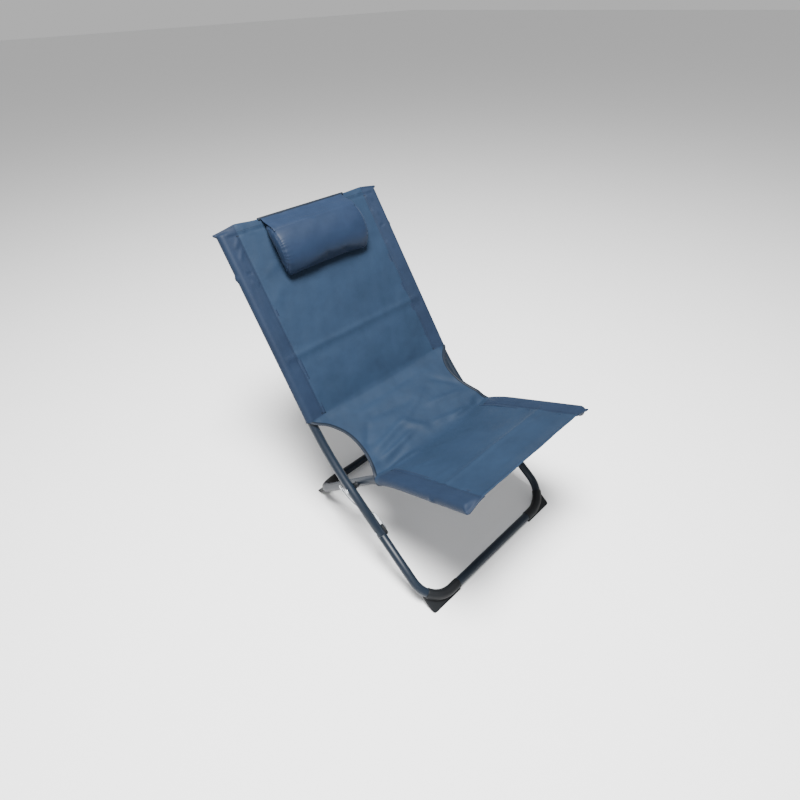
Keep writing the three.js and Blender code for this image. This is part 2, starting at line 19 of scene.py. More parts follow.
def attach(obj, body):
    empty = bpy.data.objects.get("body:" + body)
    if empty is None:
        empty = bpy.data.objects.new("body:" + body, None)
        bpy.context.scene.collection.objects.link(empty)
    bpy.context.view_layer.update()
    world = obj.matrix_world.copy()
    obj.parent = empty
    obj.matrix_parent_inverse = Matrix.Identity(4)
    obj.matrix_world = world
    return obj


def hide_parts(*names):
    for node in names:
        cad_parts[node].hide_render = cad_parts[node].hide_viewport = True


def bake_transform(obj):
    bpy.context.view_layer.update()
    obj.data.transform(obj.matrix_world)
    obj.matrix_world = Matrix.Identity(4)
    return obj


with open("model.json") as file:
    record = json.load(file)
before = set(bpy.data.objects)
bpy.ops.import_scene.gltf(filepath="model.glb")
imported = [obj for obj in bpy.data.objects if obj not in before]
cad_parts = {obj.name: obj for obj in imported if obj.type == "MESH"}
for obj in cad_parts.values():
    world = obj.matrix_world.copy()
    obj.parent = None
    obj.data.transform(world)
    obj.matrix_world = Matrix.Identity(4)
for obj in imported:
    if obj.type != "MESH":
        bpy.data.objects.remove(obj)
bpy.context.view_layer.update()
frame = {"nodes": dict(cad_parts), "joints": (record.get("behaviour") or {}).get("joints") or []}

# %% [markdown]
# ## The side profile
# Seen from the side the chair is a few straight lines joined by bends. Writing those lines down
# once, as points and headings in the plane of Y and Z, lets the tubes, the feet and the cloth share
# them. The other way is to copy numbers into every piece, and then one change breaks the fit.

# %% Lines of the side profile


def heading(angle):
    """Unit vector (y, z) at that many degrees above the direction of +Y."""
    return np.array([math.cos(math.radians(angle)), math.sin(math.radians(angle))])


FRONT_LEG_ANGLE, BACK_ANGLE, REAR_LEG_ANGLE, SEAT_ANGLE = 34.8, 55.6, 42.5, 23.0
FRONT_LEG, BACK, REAR_LEG, SEAT = 0.487, 0.652, 0.439, 0.312
BACK_BEND_R, SEAT_BEND_R, FRONT_CORNER_R, REAR_CORNER_R = 0.625, 0.485, 0.080, 0.085
FRONT_BAR_Y, BAR_HEIGHT, BASE = -0.34952254, 0.0165, 0.5378
BACK_X, SEAT_X = 0.2625, 0.2265
TUBE_R, LEG_R, CROSS_R, WALL = 0.0125, 0.012, 0.008, 0.0012
SIDES = (("left", -1.0), ("right", 1.0))

front_bar = np.array([FRONT_BAR_Y, BAR_HEIGHT])
rear_bar = front_bar + np.array([BASE, 0.0])
front_leg_up = heading(FRONT_LEG_ANGLE)
back_up = heading(BACK_ANGLE)
rear_leg_up = heading(180 - REAR_LEG_ANGLE)
seat_forward = heading(180 - SEAT_ANGLE)
back_normal = heading(BACK_ANGLE + 90)
seat_normal = heading(90 - SEAT_ANGLE)
back_bend = front_bar + FRONT_LEG * front_leg_up
seat_bend = rear_bar + REAR_LEG * rear_leg_up
back_top = back_bend + BACK * back_up
seat_front = seat_bend + SEAT * seat_forward
joint_at = {j["name"]: np.array(j["pos_m"][1:]) for j in frame["joints"]}
pivot, stay_hinge = joint_at["fold"], joint_at["stay_left_swing"]
stay_pin = pivot - 0.100 * rear_leg_up
CROSS_BARS = (("back_cross", back_bend + 0.537 * back_up, BACK_X, "back_frame"),
              ("seat_cross", seat_bend + 0.208 * seat_forward, SEAT_X, "seat_frame"))
print("pivot", pivot.round(4), "back bend", back_bend.round(4), "seat bend", seat_bend.round(4))

# %% [markdown]
# ## Surfaces from arrays
# Every new piece below is a grid of points with two directions, worked out as whole arrays. One
# helper turns such a grid into quads, and one puts points, faces and the flat pattern (UV) into a
# mesh. The pattern is kept in metres, so a weave has its true size on every piece.

# %% Array helpers


def unit(vectors, least=0.0):
    """Vectors divided by their own lengths; least is added to a length that may be nothing."""
    return vectors / (np.linalg.norm(vectors, axis=-1, keepdims=True) + least)


def running_length(points):
    """Distance from the first point along a line of points: the sum of the steps so far."""
    return np.concatenate([[0], np.cumsum(np.linalg.norm(np.diff(points, axis=0), axis=1))])


def read_along(at, run, values):
    """Rows of values at places along a line, with each column read between its neighbours."""
    return np.stack([np.interp(at, run, column) for column in values.T], axis=1)


def smoothstep(value):
    """0 before 0, 1 after 1, and a soft S between them: 3 t squared less 2 t cubed."""
    t = np.clip(value, 0.0, 1.0)
    return t * t * (3 - 2 * t)


def through(knots, values, at):
    """A smooth curve through the knots: cubic pieces whose slopes are the mean of the slopes beside
    each knot."""
    knots, values, at = (np.asarray(v, float) for v in (knots, values, at))
    slopes = np.gradient(values, knots)
    at = np.clip(at, knots[0], knots[-1])
    k = np.clip(np.searchsorted(knots, at, side="right") - 1, 0, len(knots) - 2)
    step = knots[k + 1] - knots[k]
    t = (at - knots[k]) / step
    return ((1 + 2 * t) * (1 - t) ** 2 * values[k] + t * (1 - t) ** 2 * step * slopes[k]
            + t * t * (3 - 2 * t) * values[k + 1] + t * t * (t - 1) * step * slopes[k + 1])


# %% Grid and mesh helpers


def grid_quads(rows, columns, wrap_rows=False, wrap_columns=False):
    """Quads of a grid: each joins a point to its next along the row and the same two one row on.
    Gives the corner indices and the (row, column) of each corner before wrapping."""
    i, j = np.meshgrid(
        np.arange(rows if wrap_rows else rows - 1),
        np.arange(columns if wrap_columns else columns - 1), indexing="ij")
    corners = np.array([[i, j], [i, j + 1], [i + 1, j + 1], [i + 1, j]])
    corners = corners.transpose(2, 3, 0, 1).reshape(-1, 4, 2)
    quads = (corners[..., 0] % rows) * columns + corners[..., 1] % columns
    return quads, corners


def clad(piece, material, smooth=True):
    """Gives a piece its one finish, and smooth or flat shading."""
    piece.data.materials.clear()
    piece.data.materials.append(material)
    piece.data.polygons.foreach_set("use_smooth", [smooth] * len(piece.data.polygons))


def make_piece(name, points, faces, uv=None, material=None):
    """A mesh object at the origin from points (n, 3), faces and one UV pair for each face corner."""
    faces = faces if isinstance(faces, list) else faces.tolist()
    mesh = bpy.data.meshes.new(name)
    mesh.from_pydata(np.asarray(points).reshape(-1, 3).tolist(), [], faces)
    if uv is not None:
        layer = mesh.uv_layers.new(name="pattern")
        layer.data.foreach_set("uv", np.asarray(uv, np.float32).ravel())
    mesh.update()
    piece = bpy.data.objects.new(name, mesh)
    bpy.context.scene.collection.objects.link(piece)
    if material is not None:
        clad(piece, material)
    return piece


@contextmanager
def opened(piece):
    """The piece's mesh, open for editing; it is written back when the block ends."""
    shell = bmesh.new()
    shell.from_mesh(piece.data)
    yield shell
    shell.to_mesh(piece.data)
    shell.free()


def tidy_shell(piece, merge=1e-6):
    """Merges doubled points of a closed piece and turns its faces outwards."""
    with opened(piece) as shell:
        bmesh.ops.remove_doubles(shell, verts=shell.verts, dist=merge)
        bmesh.ops.dissolve_degenerate(shell, edges=shell.edges, dist=merge)
        bmesh.ops.recalc_face_normals(shell, faces=shell.faces)
    return piece


def vertices_of(piece, what="co"):
    """Vertex places, or normals, as an (n, 3) array."""
    values = np.empty(len(piece.data.vertices) * 3, np.float32)
    piece.data.vertices.foreach_get(what, values)
    return values.reshape(-1, 3).astype(float)


def set_vertices(piece, cloud):
    """Moves every vertex to its row of the array."""
    piece.data.vertices.foreach_set("co", np.asarray(cloud, np.float32).ravel())
    piece.data.update()


# %% Modifiers and the frame


def apply_modifiers(piece):
    """Puts the result of the piece's modifiers into its own mesh, and removes them."""
    bpy.context.view_layer.update()
    evaluated = piece.evaluated_get(bpy.context.evaluated_depsgraph_get())
    finished = bpy.data.meshes.new_from_object(evaluated)
    piece.modifiers.clear()
    piece.data = finished
    return piece


def bevelled(piece, width, angle):
    """Small rounded edges wherever the surface turns by more than the angle."""
    bevel = piece.modifiers.new("edges", "BEVEL")
    bevel.width = width
    bevel.segments = 2
    bevel.limit_method = "ANGLE"
    bevel.angle_limit = math.radians(angle)
    return piece


def thicken(piece, thickness, offset=-1.0):
    """Gives a sheet its thickness: behind its face at -1, and in front of it at 1."""
    solid = piece.modifiers.new("cloth thickness", "SOLIDIFY")
    solid.thickness = thickness
    solid.offset = offset


def fused(piece, voxel):
    """Adds a remesh to even quads of about the voxel's size, which also fuses crossing shells."""
    remesh = piece.modifiers.new("fuse", "REMESH")
    remesh.mode = "VOXEL"
    remesh.voxel_size = voxel


def evened(piece, passes):
    """Adds a smoothing that moves each point half of the way to its neighbours' mean, some times."""
    soften = piece.modifiers.new("soften", "SMOOTH")
    soften.factor = 0.5
    soften.iterations = passes


def stand_in(piece, body, slot, *nodes):
    """The piece rides on a body and stands for the given frame nodes; slot is not used."""
    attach(piece, body)
    if nodes:
        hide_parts(*nodes)
    return piece


# %% [markdown]
# ## Paints, plastic and cloth
# Each finish is one node material. Effects that several finishes share are node groups with named
# inputs: a fine weave, a soft mottling, and the small grain of moulded or powder-coated surfaces.
# A group puts out only heights and masks, so the shader itself stays in the material.

# %% Node helpers


def new_group(name, inputs, outputs):
    """A shader node group with float or vector inputs and float or colour outputs."""
    group = bpy.data.node_groups.new(name, "ShaderNodeTree")
    for label, kind, value in inputs:
        socket = group.interface.new_socket(name=label, in_out="INPUT", socket_type=kind)
        if value is not None:
            socket.default_value = value
    for label, kind in outputs:
        group.interface.new_socket(name=label, in_out="OUTPUT", socket_type=kind)
    return group, group.nodes.new("NodeGroupInput"), group.nodes.new("NodeGroupOutput")


def maths(tree, operation, first, second=None, third=None):
    """A Math node; each operand is a socket or a number."""
    node = tree.nodes.new("ShaderNodeMath")
    node.operation = operation
    for socket, operand in zip(node.inputs, (first, second, third)):
        if isinstance(operand, bpy.types.NodeSocket):
            tree.links.new(operand, socket)
        elif operand is not None:
            socket.default_value = operand
    return node.outputs[0]


def noise(tree, vector, scale, detail=3.0, roughness=0.5):
    """A Noise Texture's factor, read at vector."""
    node = tree.nodes.new("ShaderNodeTexNoise")
    node.inputs["Scale"].default_value = scale
    node.inputs["Detail"].default_value = detail
    node.inputs["Roughness"].default_value = roughness
    tree.links.new(vector, node.inputs["Vector"])
    return node.outputs["Factor"] if "Factor" in node.outputs else node.outputs["Fac"]


def ramp(tree, factor, stops):
    """A Color Ramp with (place, colour) stops."""
    node = tree.nodes.new("ShaderNodeValToRGB")
    band = node.color_ramp
    while len(band.elements) < len(stops):
        band.elements.new(0.5)
    for element, (place, colour) in zip(band.elements, stops):
        element.position = place
        element.color = (*colour, 1.0)
    tree.links.new(factor, node.inputs[0])
    return node.outputs["Color"]


def place_group(tree, group, **values):
    """A node that uses the group, with its inputs linked or set by name."""
    node = tree.nodes.new("ShaderNodeGroup")
    node.node_tree = group
    for label, value in values.items():
        socket = node.inputs[label.replace("_", " ")]
        if isinstance(value, bpy.types.NodeSocket):
            tree.links.new(value, socket)
        else:
            socket.default_value = value
    return node


# %% Shared groups


def build_weave():
    """Plain weave: two crossed sets of threads, each a row of soft humps, and every second crossing
    swaps which thread is on top. Height is in the range 0 to 1."""
    group, inside, outside = new_group(
        "plain weave", [("Vector", "NodeSocketVector", None), ("Threads", "NodeSocketFloat", 900.0)],
        [("Height", "NodeSocketFloat")])
    split = group.nodes.new("ShaderNodeSeparateXYZ")
    group.links.new(inside.outputs["Vector"], split.inputs[0])
    turn = maths(group, "MULTIPLY", inside.outputs["Threads"], math.pi)
    across = maths(group, "MULTIPLY", split.outputs["X"], turn)
    down = maths(group, "MULTIPLY", split.outputs["Y"], turn)
    warp = maths(group, "ABSOLUTE", maths(group, "SINE", across))
    weft = maths(group, "ABSOLUTE", maths(group, "SINE", down))
    over = maths(group, "MULTIPLY", maths(group, "COSINE", across), maths(group, "COSINE", down))
    swap = maths(group, "MULTIPLY_ADD", over, 0.5, 0.5)
    top = maths(group, "MULTIPLY", warp, swap)
    low = maths(group, "MULTIPLY", weft, maths(group, "SUBTRACT", 1.0, swap))
    group.links.new(maths(group, "ADD", top, low), outside.inputs["Height"])
    return group


def build_mottle():
    """Slow, uneven drift of a finish: two sizes of noise, mixed. Mask is near 0.5 with soft ups and
    downs."""
    group, inside, outside = new_group(
        "mottle", [("Vector", "NodeSocketVector", None)], [("Mask", "NodeSocketFloat")])
    wide = noise(group, inside.outputs["Vector"], 9.0, 2.0)
    small = noise(group, inside.outputs["Vector"], 60.0, 4.0, 0.6)
    group.links.new(maths(group, "MULTIPLY_ADD", small, 0.35, maths(group, "MULTIPLY", wide, 0.65)),
                    outside.inputs["Mask"])
    return group


def build_grain():
    """Fine grain of powder coat or moulded plastic: noise at about a millimetre, Height 0 to 1."""
    group, inside, outside = new_group(
        "fine grain", [("Vector", "NodeSocketVector", None)], [("Height", "NodeSocketFloat")])
    fine = noise(group, inside.outputs["Vector"], 1100.0, 2.0, 0.55)
    broad = noise(group, inside.outputs["Vector"], 260.0, 2.0, 0.5)
    group.links.new(maths(group, "MULTIPLY_ADD", broad, 0.4, maths(group, "MULTIPLY", fine, 0.6)),
                    outside.inputs["Height"])
    return group


WEAVE, MOTTLE, GRAIN = build_weave(), build_mottle(), build_grain()
print("groups", [g.name for g in (WEAVE, MOTTLE, GRAIN)])

# %% Finishes


def start_material(name, roughness, metallic=0.0):
    """A material with one Principled shader, its node tree, and its texture coordinates."""
    material = bpy.data.materials.new(name)
    material.use_nodes = True
    tree = material.node_tree
    shader = tree.nodes["Principled BSDF"]
    shader.inputs["Roughness"].default_value = roughness
    shader.inputs["Metallic"].default_value = metallic
    coords = tree.nodes.new("ShaderNodeTexCoord")
    return material, tree, shader, coords


def add_bump(tree, shader, height, strength, distance):
    """Tilts the shader's normal by a height; distance is the height of 1, in metres."""
    bump = tree.nodes.new("ShaderNodeBump")
    bump.inputs["Strength"].default_value = strength
    bump.inputs["Distance"].default_value = distance
    tree.links.new(height, bump.inputs["Height"])
    tree.links.new(bump.outputs["Normal"], shader.inputs["Normal"])


def surface_masks(tree, coords):
    """The mottle's mask and the fine grain's height, both read at the object's own coordinates."""
    mask = place_group(tree, MOTTLE, Vector=coords.outputs["Object"]).outputs["Mask"]
    grain = place_group(tree, GRAIN, Vector=coords.outputs["Object"]).outputs["Height"]
    return mask, grain


def shade(base, factor, lift=0.0):
    """A colour times a factor, plus a little grey."""
    return tuple(c * factor + lift for c in base)


HIP_STARTS, HIP_ENDS = 0.565, 0.813
BACK_SEAM_X, HIP_SPREAD, SEAT_SEAM_X = 0.2215, 0.1, 0.1885


def side_strips(tree, uv, plain, strip_colour):
    """Colour of the sling: beyond the side seams it is darker and more purple than on the panel.
    The seams lie at one distance from the middle on the back and at another on the seat, and at the
    hip, which has no seams, the limit is past the cloth's edge."""
    split = tree.nodes.new("ShaderNodeSeparateXYZ")
    tree.links.new(uv, split.inputs[0])
    past_back = maths(tree, "GREATER_THAN", split.outputs["Y"], HIP_STARTS)
    on_seat = maths(tree, "GREATER_THAN", split.outputs["Y"], HIP_ENDS)
    until_seat = maths(tree, "MULTIPLY_ADD", past_back, HIP_SPREAD, BACK_SEAM_X)
    seam = maths(tree, "MULTIPLY_ADD", on_seat, SEAT_SEAM_X - BACK_SEAM_X - HIP_SPREAD, until_seat)
    beyond = maths(tree, "SUBTRACT", maths(tree, "ABSOLUTE", split.outputs["X"]), seam)
    mask = tree.nodes.new("ShaderNodeClamp")
    tree.links.new(maths(tree, "MULTIPLY", beyond, 900.0), mask.inputs["Value"])
    mix = tree.nodes.new("ShaderNodeMix")
    mix.data_type = "RGBA"
    tree.links.new(mask.outputs[0], mix.inputs["Factor"])
    tree.links.new(plain, mix.inputs[6])
    tree.links.new(strip_colour, mix.inputs[7])
    return mix.outputs[2]


def cloth_material(name, dark, light, threads, roughness, sheen, strips=False):
    """Coated polyester: plain weave in relief, a slow drift of colour, and a little sheen."""
    material, tree, shader, coords = start_material(name, roughness)
    mask = place_group(tree, MOTTLE, Vector=coords.outputs["Object"]).outputs["Mask"]
    weave = place_group(tree, WEAVE, Vector=coords.outputs["UV"], Threads=threads).outputs["Height"]
    tone = maths(tree, "MULTIPLY_ADD", weave, 0.16, mask)
    colour = ramp(tree, tone, [(0.38, dark), (0.78, light)])
    if strips:
        # Past the side seams the ramp's colours are multiplied by (0.82, 0.74, 0.80).
        deeper = [tuple(np.array(c) * (0.82, 0.74, 0.80)) for c in (dark, light)]
        strip_colour = ramp(tree, tone, [(0.38, deeper[0]), (0.78, deeper[1])])
        colour = side_strips(tree, coords.outputs["UV"], colour, strip_colour)
    tree.links.new(colour, shader.inputs["Base Color"])
    gloss = maths(tree, "MULTIPLY_ADD", mask, 0.12, roughness - 0.06)
    tree.links.new(gloss, shader.inputs["Roughness"])
    creases = noise(tree, coords.outputs["Object"], 34.0, 3.0, 0.55)
    height = maths(tree, "MULTIPLY_ADD", creases, 3.0, maths(tree, "MULTIPLY", weave, 0.5))
    add_bump(tree, shader, height, 0.35, 0.0004)
    shader.inputs["Sheen Weight"].default_value = sheen
    shader.inputs["Sheen Roughness"].default_value = 0.45
    shader.inputs["Sheen Tint"].default_value = (0.55, 0.68, 0.95, 1.0)
    shader.inputs["Specular IOR Level"].default_value = 0.16
    return material


def tube_paint(name, base, weld_highlight_angle):
    """Satin powder coat on welded tube. A thin paler line is painted along the tube at one place round
    it, which is the pattern's first direction: a painted highlight line over the small ridge of the welded
    seam."""
    material, tree, shader, coords = start_material(name, 0.42)
    mask, grain = surface_masks(tree, coords)
    split = tree.nodes.new("ShaderNodeSeparateXYZ")
    tree.links.new(coords.outputs["UV"], split.inputs[0])
    away = maths(tree, "ABSOLUTE", maths(tree, "SUBTRACT", split.outputs["X"], weld_highlight_angle))
    line = maths(tree, "SUBTRACT", 1.0, maths(tree, "MULTIPLY", away, 60.0))
    weld_highlight = maths(tree, "MAXIMUM", line, 0.0)
    # The paler colour of this line is a painted highlight; its height also gives the welded seam's ridge
    # in the bump.
    tone = maths(tree, "MULTIPLY_ADD", weld_highlight, 0.35, maths(tree, "MULTIPLY", mask, 0.6))
    colour = ramp(tree, tone, [(0.2, shade(base, 0.88)), (0.42, shade(base, 1.16)),
                               (0.72, shade(base, 2.2, 0.03))])
    tree.links.new(colour, shader.inputs["Base Color"])
    tree.links.new(maths(tree, "MULTIPLY_ADD", grain, 0.16, 0.34), shader.inputs["Roughness"])
    add_bump(tree, shader, maths(tree, "MULTIPLY_ADD", weld_highlight, 1.6, grain), 0.3, 0.00012)
    shader.inputs["Specular IOR Level"].default_value = 0.28
    return material


def plastic_material(name, base):
    """Moulded polypropylene: charcoal, matte, finely grained."""
    material, tree, shader, coords = start_material(name, 0.55)
    mask, grain = surface_masks(tree, coords)
    colour = ramp(tree, mask, [(0.35, shade(base, 0.8)), (0.65, shade(base, 1.3))])
    tree.links.new(colour, shader.inputs["Base Color"])
    tree.links.new(maths(tree, "MULTIPLY_ADD", grain, 0.2, 0.44), shader.inputs["Roughness"])
    add_bump(tree, shader, grain, 0.4, 0.0002)
    shader.inputs["Specular IOR Level"].default_value = 0.22
    return material


def zinc_material(name):
    """Zinc plate: bright grey metal with a cloudy, slightly brushed surface."""
    material, tree, shader, coords = start_material(name, 0.3, 1.0)
    mask, grain = surface_masks(tree, coords)
    tone = ramp(tree, mask, [(0.3, (0.30, 0.32, 0.34)), (0.7, (0.52, 0.54, 0.56))])
    tree.links.new(tone, shader.inputs["Base Color"])
    tree.links.new(maths(tree, "MULTIPLY_ADD", grain, 0.25, 0.2), shader.inputs["Roughness"])
    add_bump(tree, shader, grain, 0.25, 0.0001)
    return material


SLING = cloth_material(
    "sling cloth", (0.0060, 0.0148, 0.0310), (0.0090, 0.0210, 0.0430), 800.0, 0.64, 0.05, strips=True)
PILLOW = cloth_material(
    "pillow cloth", (0.0054, 0.0124, 0.0290), (0.0080, 0.0172, 0.0395), 1000.0, 0.56, 0.05)
BINDING = cloth_material(
    "edge binding", (0.0035, 0.0065, 0.0120), (0.0055, 0.0095, 0.0170), 1300.0, 0.55, 0.02)
THREAD = cloth_material(
    "sewing thread", (0.0030, 0.0060, 0.0130), (0.0050, 0.0090, 0.0180), 4000.0, 0.5, 0.02)
PAINT = tube_paint("frame paint", (0.0040, 0.0085, 0.0160), 0.5)
PLASTIC = plastic_material("black plastic", (0.0040, 0.0048, 0.0060))
ZINC = zinc_material("zinc plate")
print("finishes", len(bpy.data.materials))

# %% [markdown]
# ## Tubes
# A bent tube is a circle carried along a path. The path is given by its corner points, and each
# corner is rounded to the tube bender's radius. Every path here lies either in the side plane or in
# the plane of a leg, so one direction across the tube comes from crossing X with the path, and the
# circle never twists. The wall is closed with a small lip at each end.

# %% Paths and pipes


def at_x(x, profile):
    """A point of the side profile as a 3-D point at that x."""
    return np.array([x, profile[0], profile[1]])


def bent_path(corners, radii, turn_step=4.0):
    """Points and headings along straight lines whose corners are arcs of the given radii.
    On an arc, the point is the centre plus the spoke turned by the angle so far."""
    corners = [np.asarray(c, float) for c in corners]
    first, last = unit(corners[1] - corners[0]), unit(corners[-1] - corners[-2])
    points, headings = [corners[0][None]], [first[None]]
    for before, corner, after, radius in zip(corners, corners[1:], corners[2:], radii):
        come, leave = unit(corner - before), unit(after - corner)
        turn = math.acos(np.clip(come @ leave, -1, 1))
        inward = unit(leave - (leave @ come) * come)
        start = corner - radius * math.tan(turn / 2) * come
        angle = np.linspace(0, turn, max(3, int(math.degrees(turn) / turn_step) + 1))[:, None]
        points.append(start + radius * (np.sin(angle) * come + (1 - np.cos(angle)) * inward))
        headings.append(np.cos(angle) * come + np.sin(angle) * inward)
    points.append(corners[-1][None])
    headings.append(last[None])
    return np.concatenate(points), np.concatenate(headings)


def across_path(headings):
    """The direction across a path that is level with its own plane: X crossed with the heading, kept
    pointing up, and carried on from the nearest station where the path runs along X."""
    side = np.cross([1.0, 0.0, 0.0], headings)
    size = np.linalg.norm(side, axis=1)
    usable = np.flatnonzero(size > 1e-3)
    nearest = usable[np.abs(np.arange(len(size))[:, None] - usable).argmin(1)]
    side = side[nearest] / size[nearest][:, None]
    return side * np.where(side[:, 2:] < 0, -1.0, 1.0)


def pipe(name, path, radius, wall, material, sides=36, lip=0.0004):
    """Outer wall along the path, a rounded lip, and the inner wall back again. A point of the wall is
    the station plus the radius times the across direction turned by the angle round the tube."""
    points, headings = path
    side = across_path(headings)
    ends = np.array([0, len(points) - 1])
    outward = headings[ends] * np.array([[-1.0], [1.0]])
    inset = points.copy()
    inset[ends] -= outward * lip
    station = np.concatenate([inset, points[-1:], points[::-1], points[:1]])
    direction = np.concatenate([headings, headings[-1:], headings[::-1], headings[:1]])
    level = np.concatenate([side, side[-1:], side[::-1], side[:1]])
    n = len(points)
    rim = [radius - lip]
    reach = np.concatenate([np.full(n, radius), rim, np.full(n, radius - wall), rim])
    around = np.linspace(0, 2 * math.pi, sides, endpoint=False)[None, :, None]
    ring = np.cos(around) * level[:, None] + np.sin(around) * np.cross(direction, level)[:, None]
    cloud = station[:, None] + reach[:, None, None] * ring
    quads, corners = grid_quads(len(station), sides, wrap_rows=True, wrap_columns=True)
    run = np.concatenate([running_length(station), [0]])
    uv = np.stack([corners[..., 1] / sides, run[corners[..., 0]]], axis=-1)
    return tidy_shell(make_piece(name, cloud, quads, uv, material))


# %% Frame tubes
leg_end = front_bar + 0.222 * front_leg_up
leg_top = front_bar + 0.2214 * front_leg_up

for side, sign in SIDES:
    x = sign * BACK_X
    path = bent_path([at_x(x, leg_end), at_x(x, back_bend), at_x(x, back_top)], [BACK_BEND_R], 1.0)
    tube = pipe(f"upper_tube_{side}", path, TUBE_R, WALL, PAINT)
    stand_in(tube, "back_frame", "frame_paint", f"back_tube_{side}")

front_path = bent_path(
    [at_x(-BACK_X, leg_top), at_x(-BACK_X, front_bar), at_x(BACK_X, front_bar), at_x(BACK_X, leg_top)],
    [FRONT_CORNER_R, FRONT_CORNER_R])
front_u = pipe("front_leg_u", front_path, LEG_R, WALL, PAINT)
stand_in(front_u, "back_frame", "frame_paint", "front_leg_tube")

seat_path = bent_path(
    [at_x(-SEAT_X, seat_front), at_x(-SEAT_X, seat_bend), at_x(-SEAT_X, rear_bar),
     at_x(SEAT_X, rear_bar), at_x(SEAT_X, seat_bend), at_x(SEAT_X, seat_front)],
    [SEAT_BEND_R, REAR_CORNER_R, REAR_CORNER_R, SEAT_BEND_R], 2.0)
seat_u = pipe("seat_and_rear_leg_tube", seat_path, TUBE_R, WALL, PAINT)
stand_in(seat_u, "seat_frame", "frame_paint", "seat_tube")

for name, centre, half, body in CROSS_BARS:
    reach = half - TUBE_R - 0.0003
    points = np.linspace(at_x(-reach, centre), at_x(reach, centre), 3)
    # A heading of exactly X has no direction across it that is level, so it is tilted a little.
    headings = unit(np.tile([1.0, 0.0, 1e-2], (3, 1)))
    bar = pipe(f"{name}_bar", (points, headings), CROSS_R, WALL, PAINT, sides=28)
    stand_in(bar, body, "frame_paint", f"{name}_tube")
print("seat tube faces", len(seat_u.data.polygons))

# %% [markdown]
# ## Turned hardware
# Bolts, rivets, spacers and screws are round pieces on an axis across the chair. Each is a profile
# of radius against X that is spun round that axis, so a rivet's dome and a bolt's washer face are
# true curves and not flat-sided blocks.

# %% Bolts, rivets, spacers and screws


def turned_piece(name, profile, sign, centre, material, sides=40):
    """Spins (radius, x) pairs in millimetres round an axis along X: y and z are the radius times the
    cosine and sine of the angle round it. The profile starts and ends on the axis, or closes on
    itself."""
    profile = np.array(profile, float) * 0.001
    around = np.linspace(0, 2 * math.pi, sides, endpoint=False)
    radius, x = profile[:, :1], profile[:, 1:] * sign
    y, z = centre[0] + radius * np.cos(around), centre[1] + radius * np.sin(around)
    cloud = np.stack([np.broadcast_to(x, y.shape), y, z], axis=-1)
    quads, corners = grid_quads(len(profile), sides, wrap_columns=True)
    uv = np.stack([corners[..., 1] / sides, corners[..., 0] * 0.001], axis=-1)
    return bevelled(tidy_shell(make_piece(name, cloud, quads, uv, material), 2e-5), 0.0003, 30)


def dome(radius, base, rise):
    """(radius, x) pairs of a flattened dome that starts at the base and ends on the axis."""
    return [(radius * math.cos(a), base + rise * math.sin(a)) for a in np.linspace(0, math.pi / 2, 5)]


bolt = [(0, 205), (2.6, 205), (3, 205.5), (3, 275.3), (7, 275.3), *dome(6.8, 275.9, 2.1)]
spacer = [(3.3, 239.3), (9.3, 239.3), (9.5, 239.6), (9.5, 241.1), (8, 242.4), (8, 246.6),
          (9.5, 247.9), (9.5, 249.4), (9.3, 249.7), (3.3, 249.7), (3.3, 239.3)]
nut = [(3.4, 207.8), (5.6, 207.8), (6.5, 208.4), (6.5, 213.3), (6.2, 213.7), (3.4, 213.7), (3.4, 207.8)]
rivet = [(0, 240.1), (3.6, 240.3), (5.0, 241.0), (5.5, 242.1), (3, 242.2), (3, 275.3), (5.5, 275.3),
         *dome(5.4, 275.5, 1.5)]
slide_pin = [(0, 211.6), (3.6, 211.8), (5.0, 212.6), (5.5, 213.6), (3, 213.7), (3, 245.3), (5.5, 245.3),
             *dome(5.4, 245.5, 1.7)]

for side, sign in SIDES:
    for name, profile, centre, body, material, slot in (
            ("pivot_bolt", bolt, pivot, "back_frame", ZINC, "zinc"),
            ("pivot_spacer", spacer, pivot, "back_frame", PLASTIC, "black_plastic"),
            ("stay_rivet", rivet, stay_hinge, "back_frame", ZINC, "zinc"),
            ("stay_pin", slide_pin, stay_pin, "seat_frame", ZINC, "zinc")):
        piece = turned_piece(f"{name}_turned_{side}", profile, sign, centre, material)
        stand_in(piece, body, slot, f"{name}_{side}")
    piece = turned_piece(f"pivot_nut_turned_{side}", nut, sign, pivot, ZINC, sides=6)
    clad(piece, ZINC, smooth=False)
    stand_in(piece, "back_frame", "zinc", f"pivot_nut_{side}")
    for name, centre, half, body in CROSS_BARS:
        tip, head = half * 1000 - 30.5, half * 1000 + 12.8
        screw = [(0, tip), (2.4, tip), (3, tip + 0.8), (3, head), (5.5, head), *dome(5.4, head + 0.4, 1.9)]
        piece = turned_piece(f"{name}_screw_turned_{side}", screw, sign, centre, ZINC)
        stand_in(piece, body, "zinc", f"{name}_screw_{side}")
print("turned pieces for each side", 5 + len(CROSS_BARS))

# %% [markdown]
# ## Stays and joint collars
# The slotted stays and the plastic collars under them are flat plates whose outlines are already
# exact in the frame. A copy of each is merged, its flat faces are joined up, and its edges get the
# small round that a punched plate or a moulding has.

# %% Plates with softened edges


def softened_copy(node, name, width, angle, material, body, slot):
    """A merged copy of a frame node with bevelled edges, which stands for that node."""
    source = frame["nodes"][node]
    piece = bpy.data.objects.new(name, source.data.copy())
    bpy.context.scene.collection.objects.link(piece)
    with opened(piece) as shell:
        bmesh.ops.remove_doubles(shell, verts=shell.verts, dist=2e-6)
        bmesh.ops.dissolve_limit(
            shell, verts=shell.verts, edges=shell.edges, angle_limit=math.radians(1.5))
        for edge in shell.edges:
            edge.smooth = edge.calc_face_angle(0.0) < math.radians(35)
    clad(piece, material)
    bevelled(piece, width, angle)
    return stand_in(piece, body, slot, node)


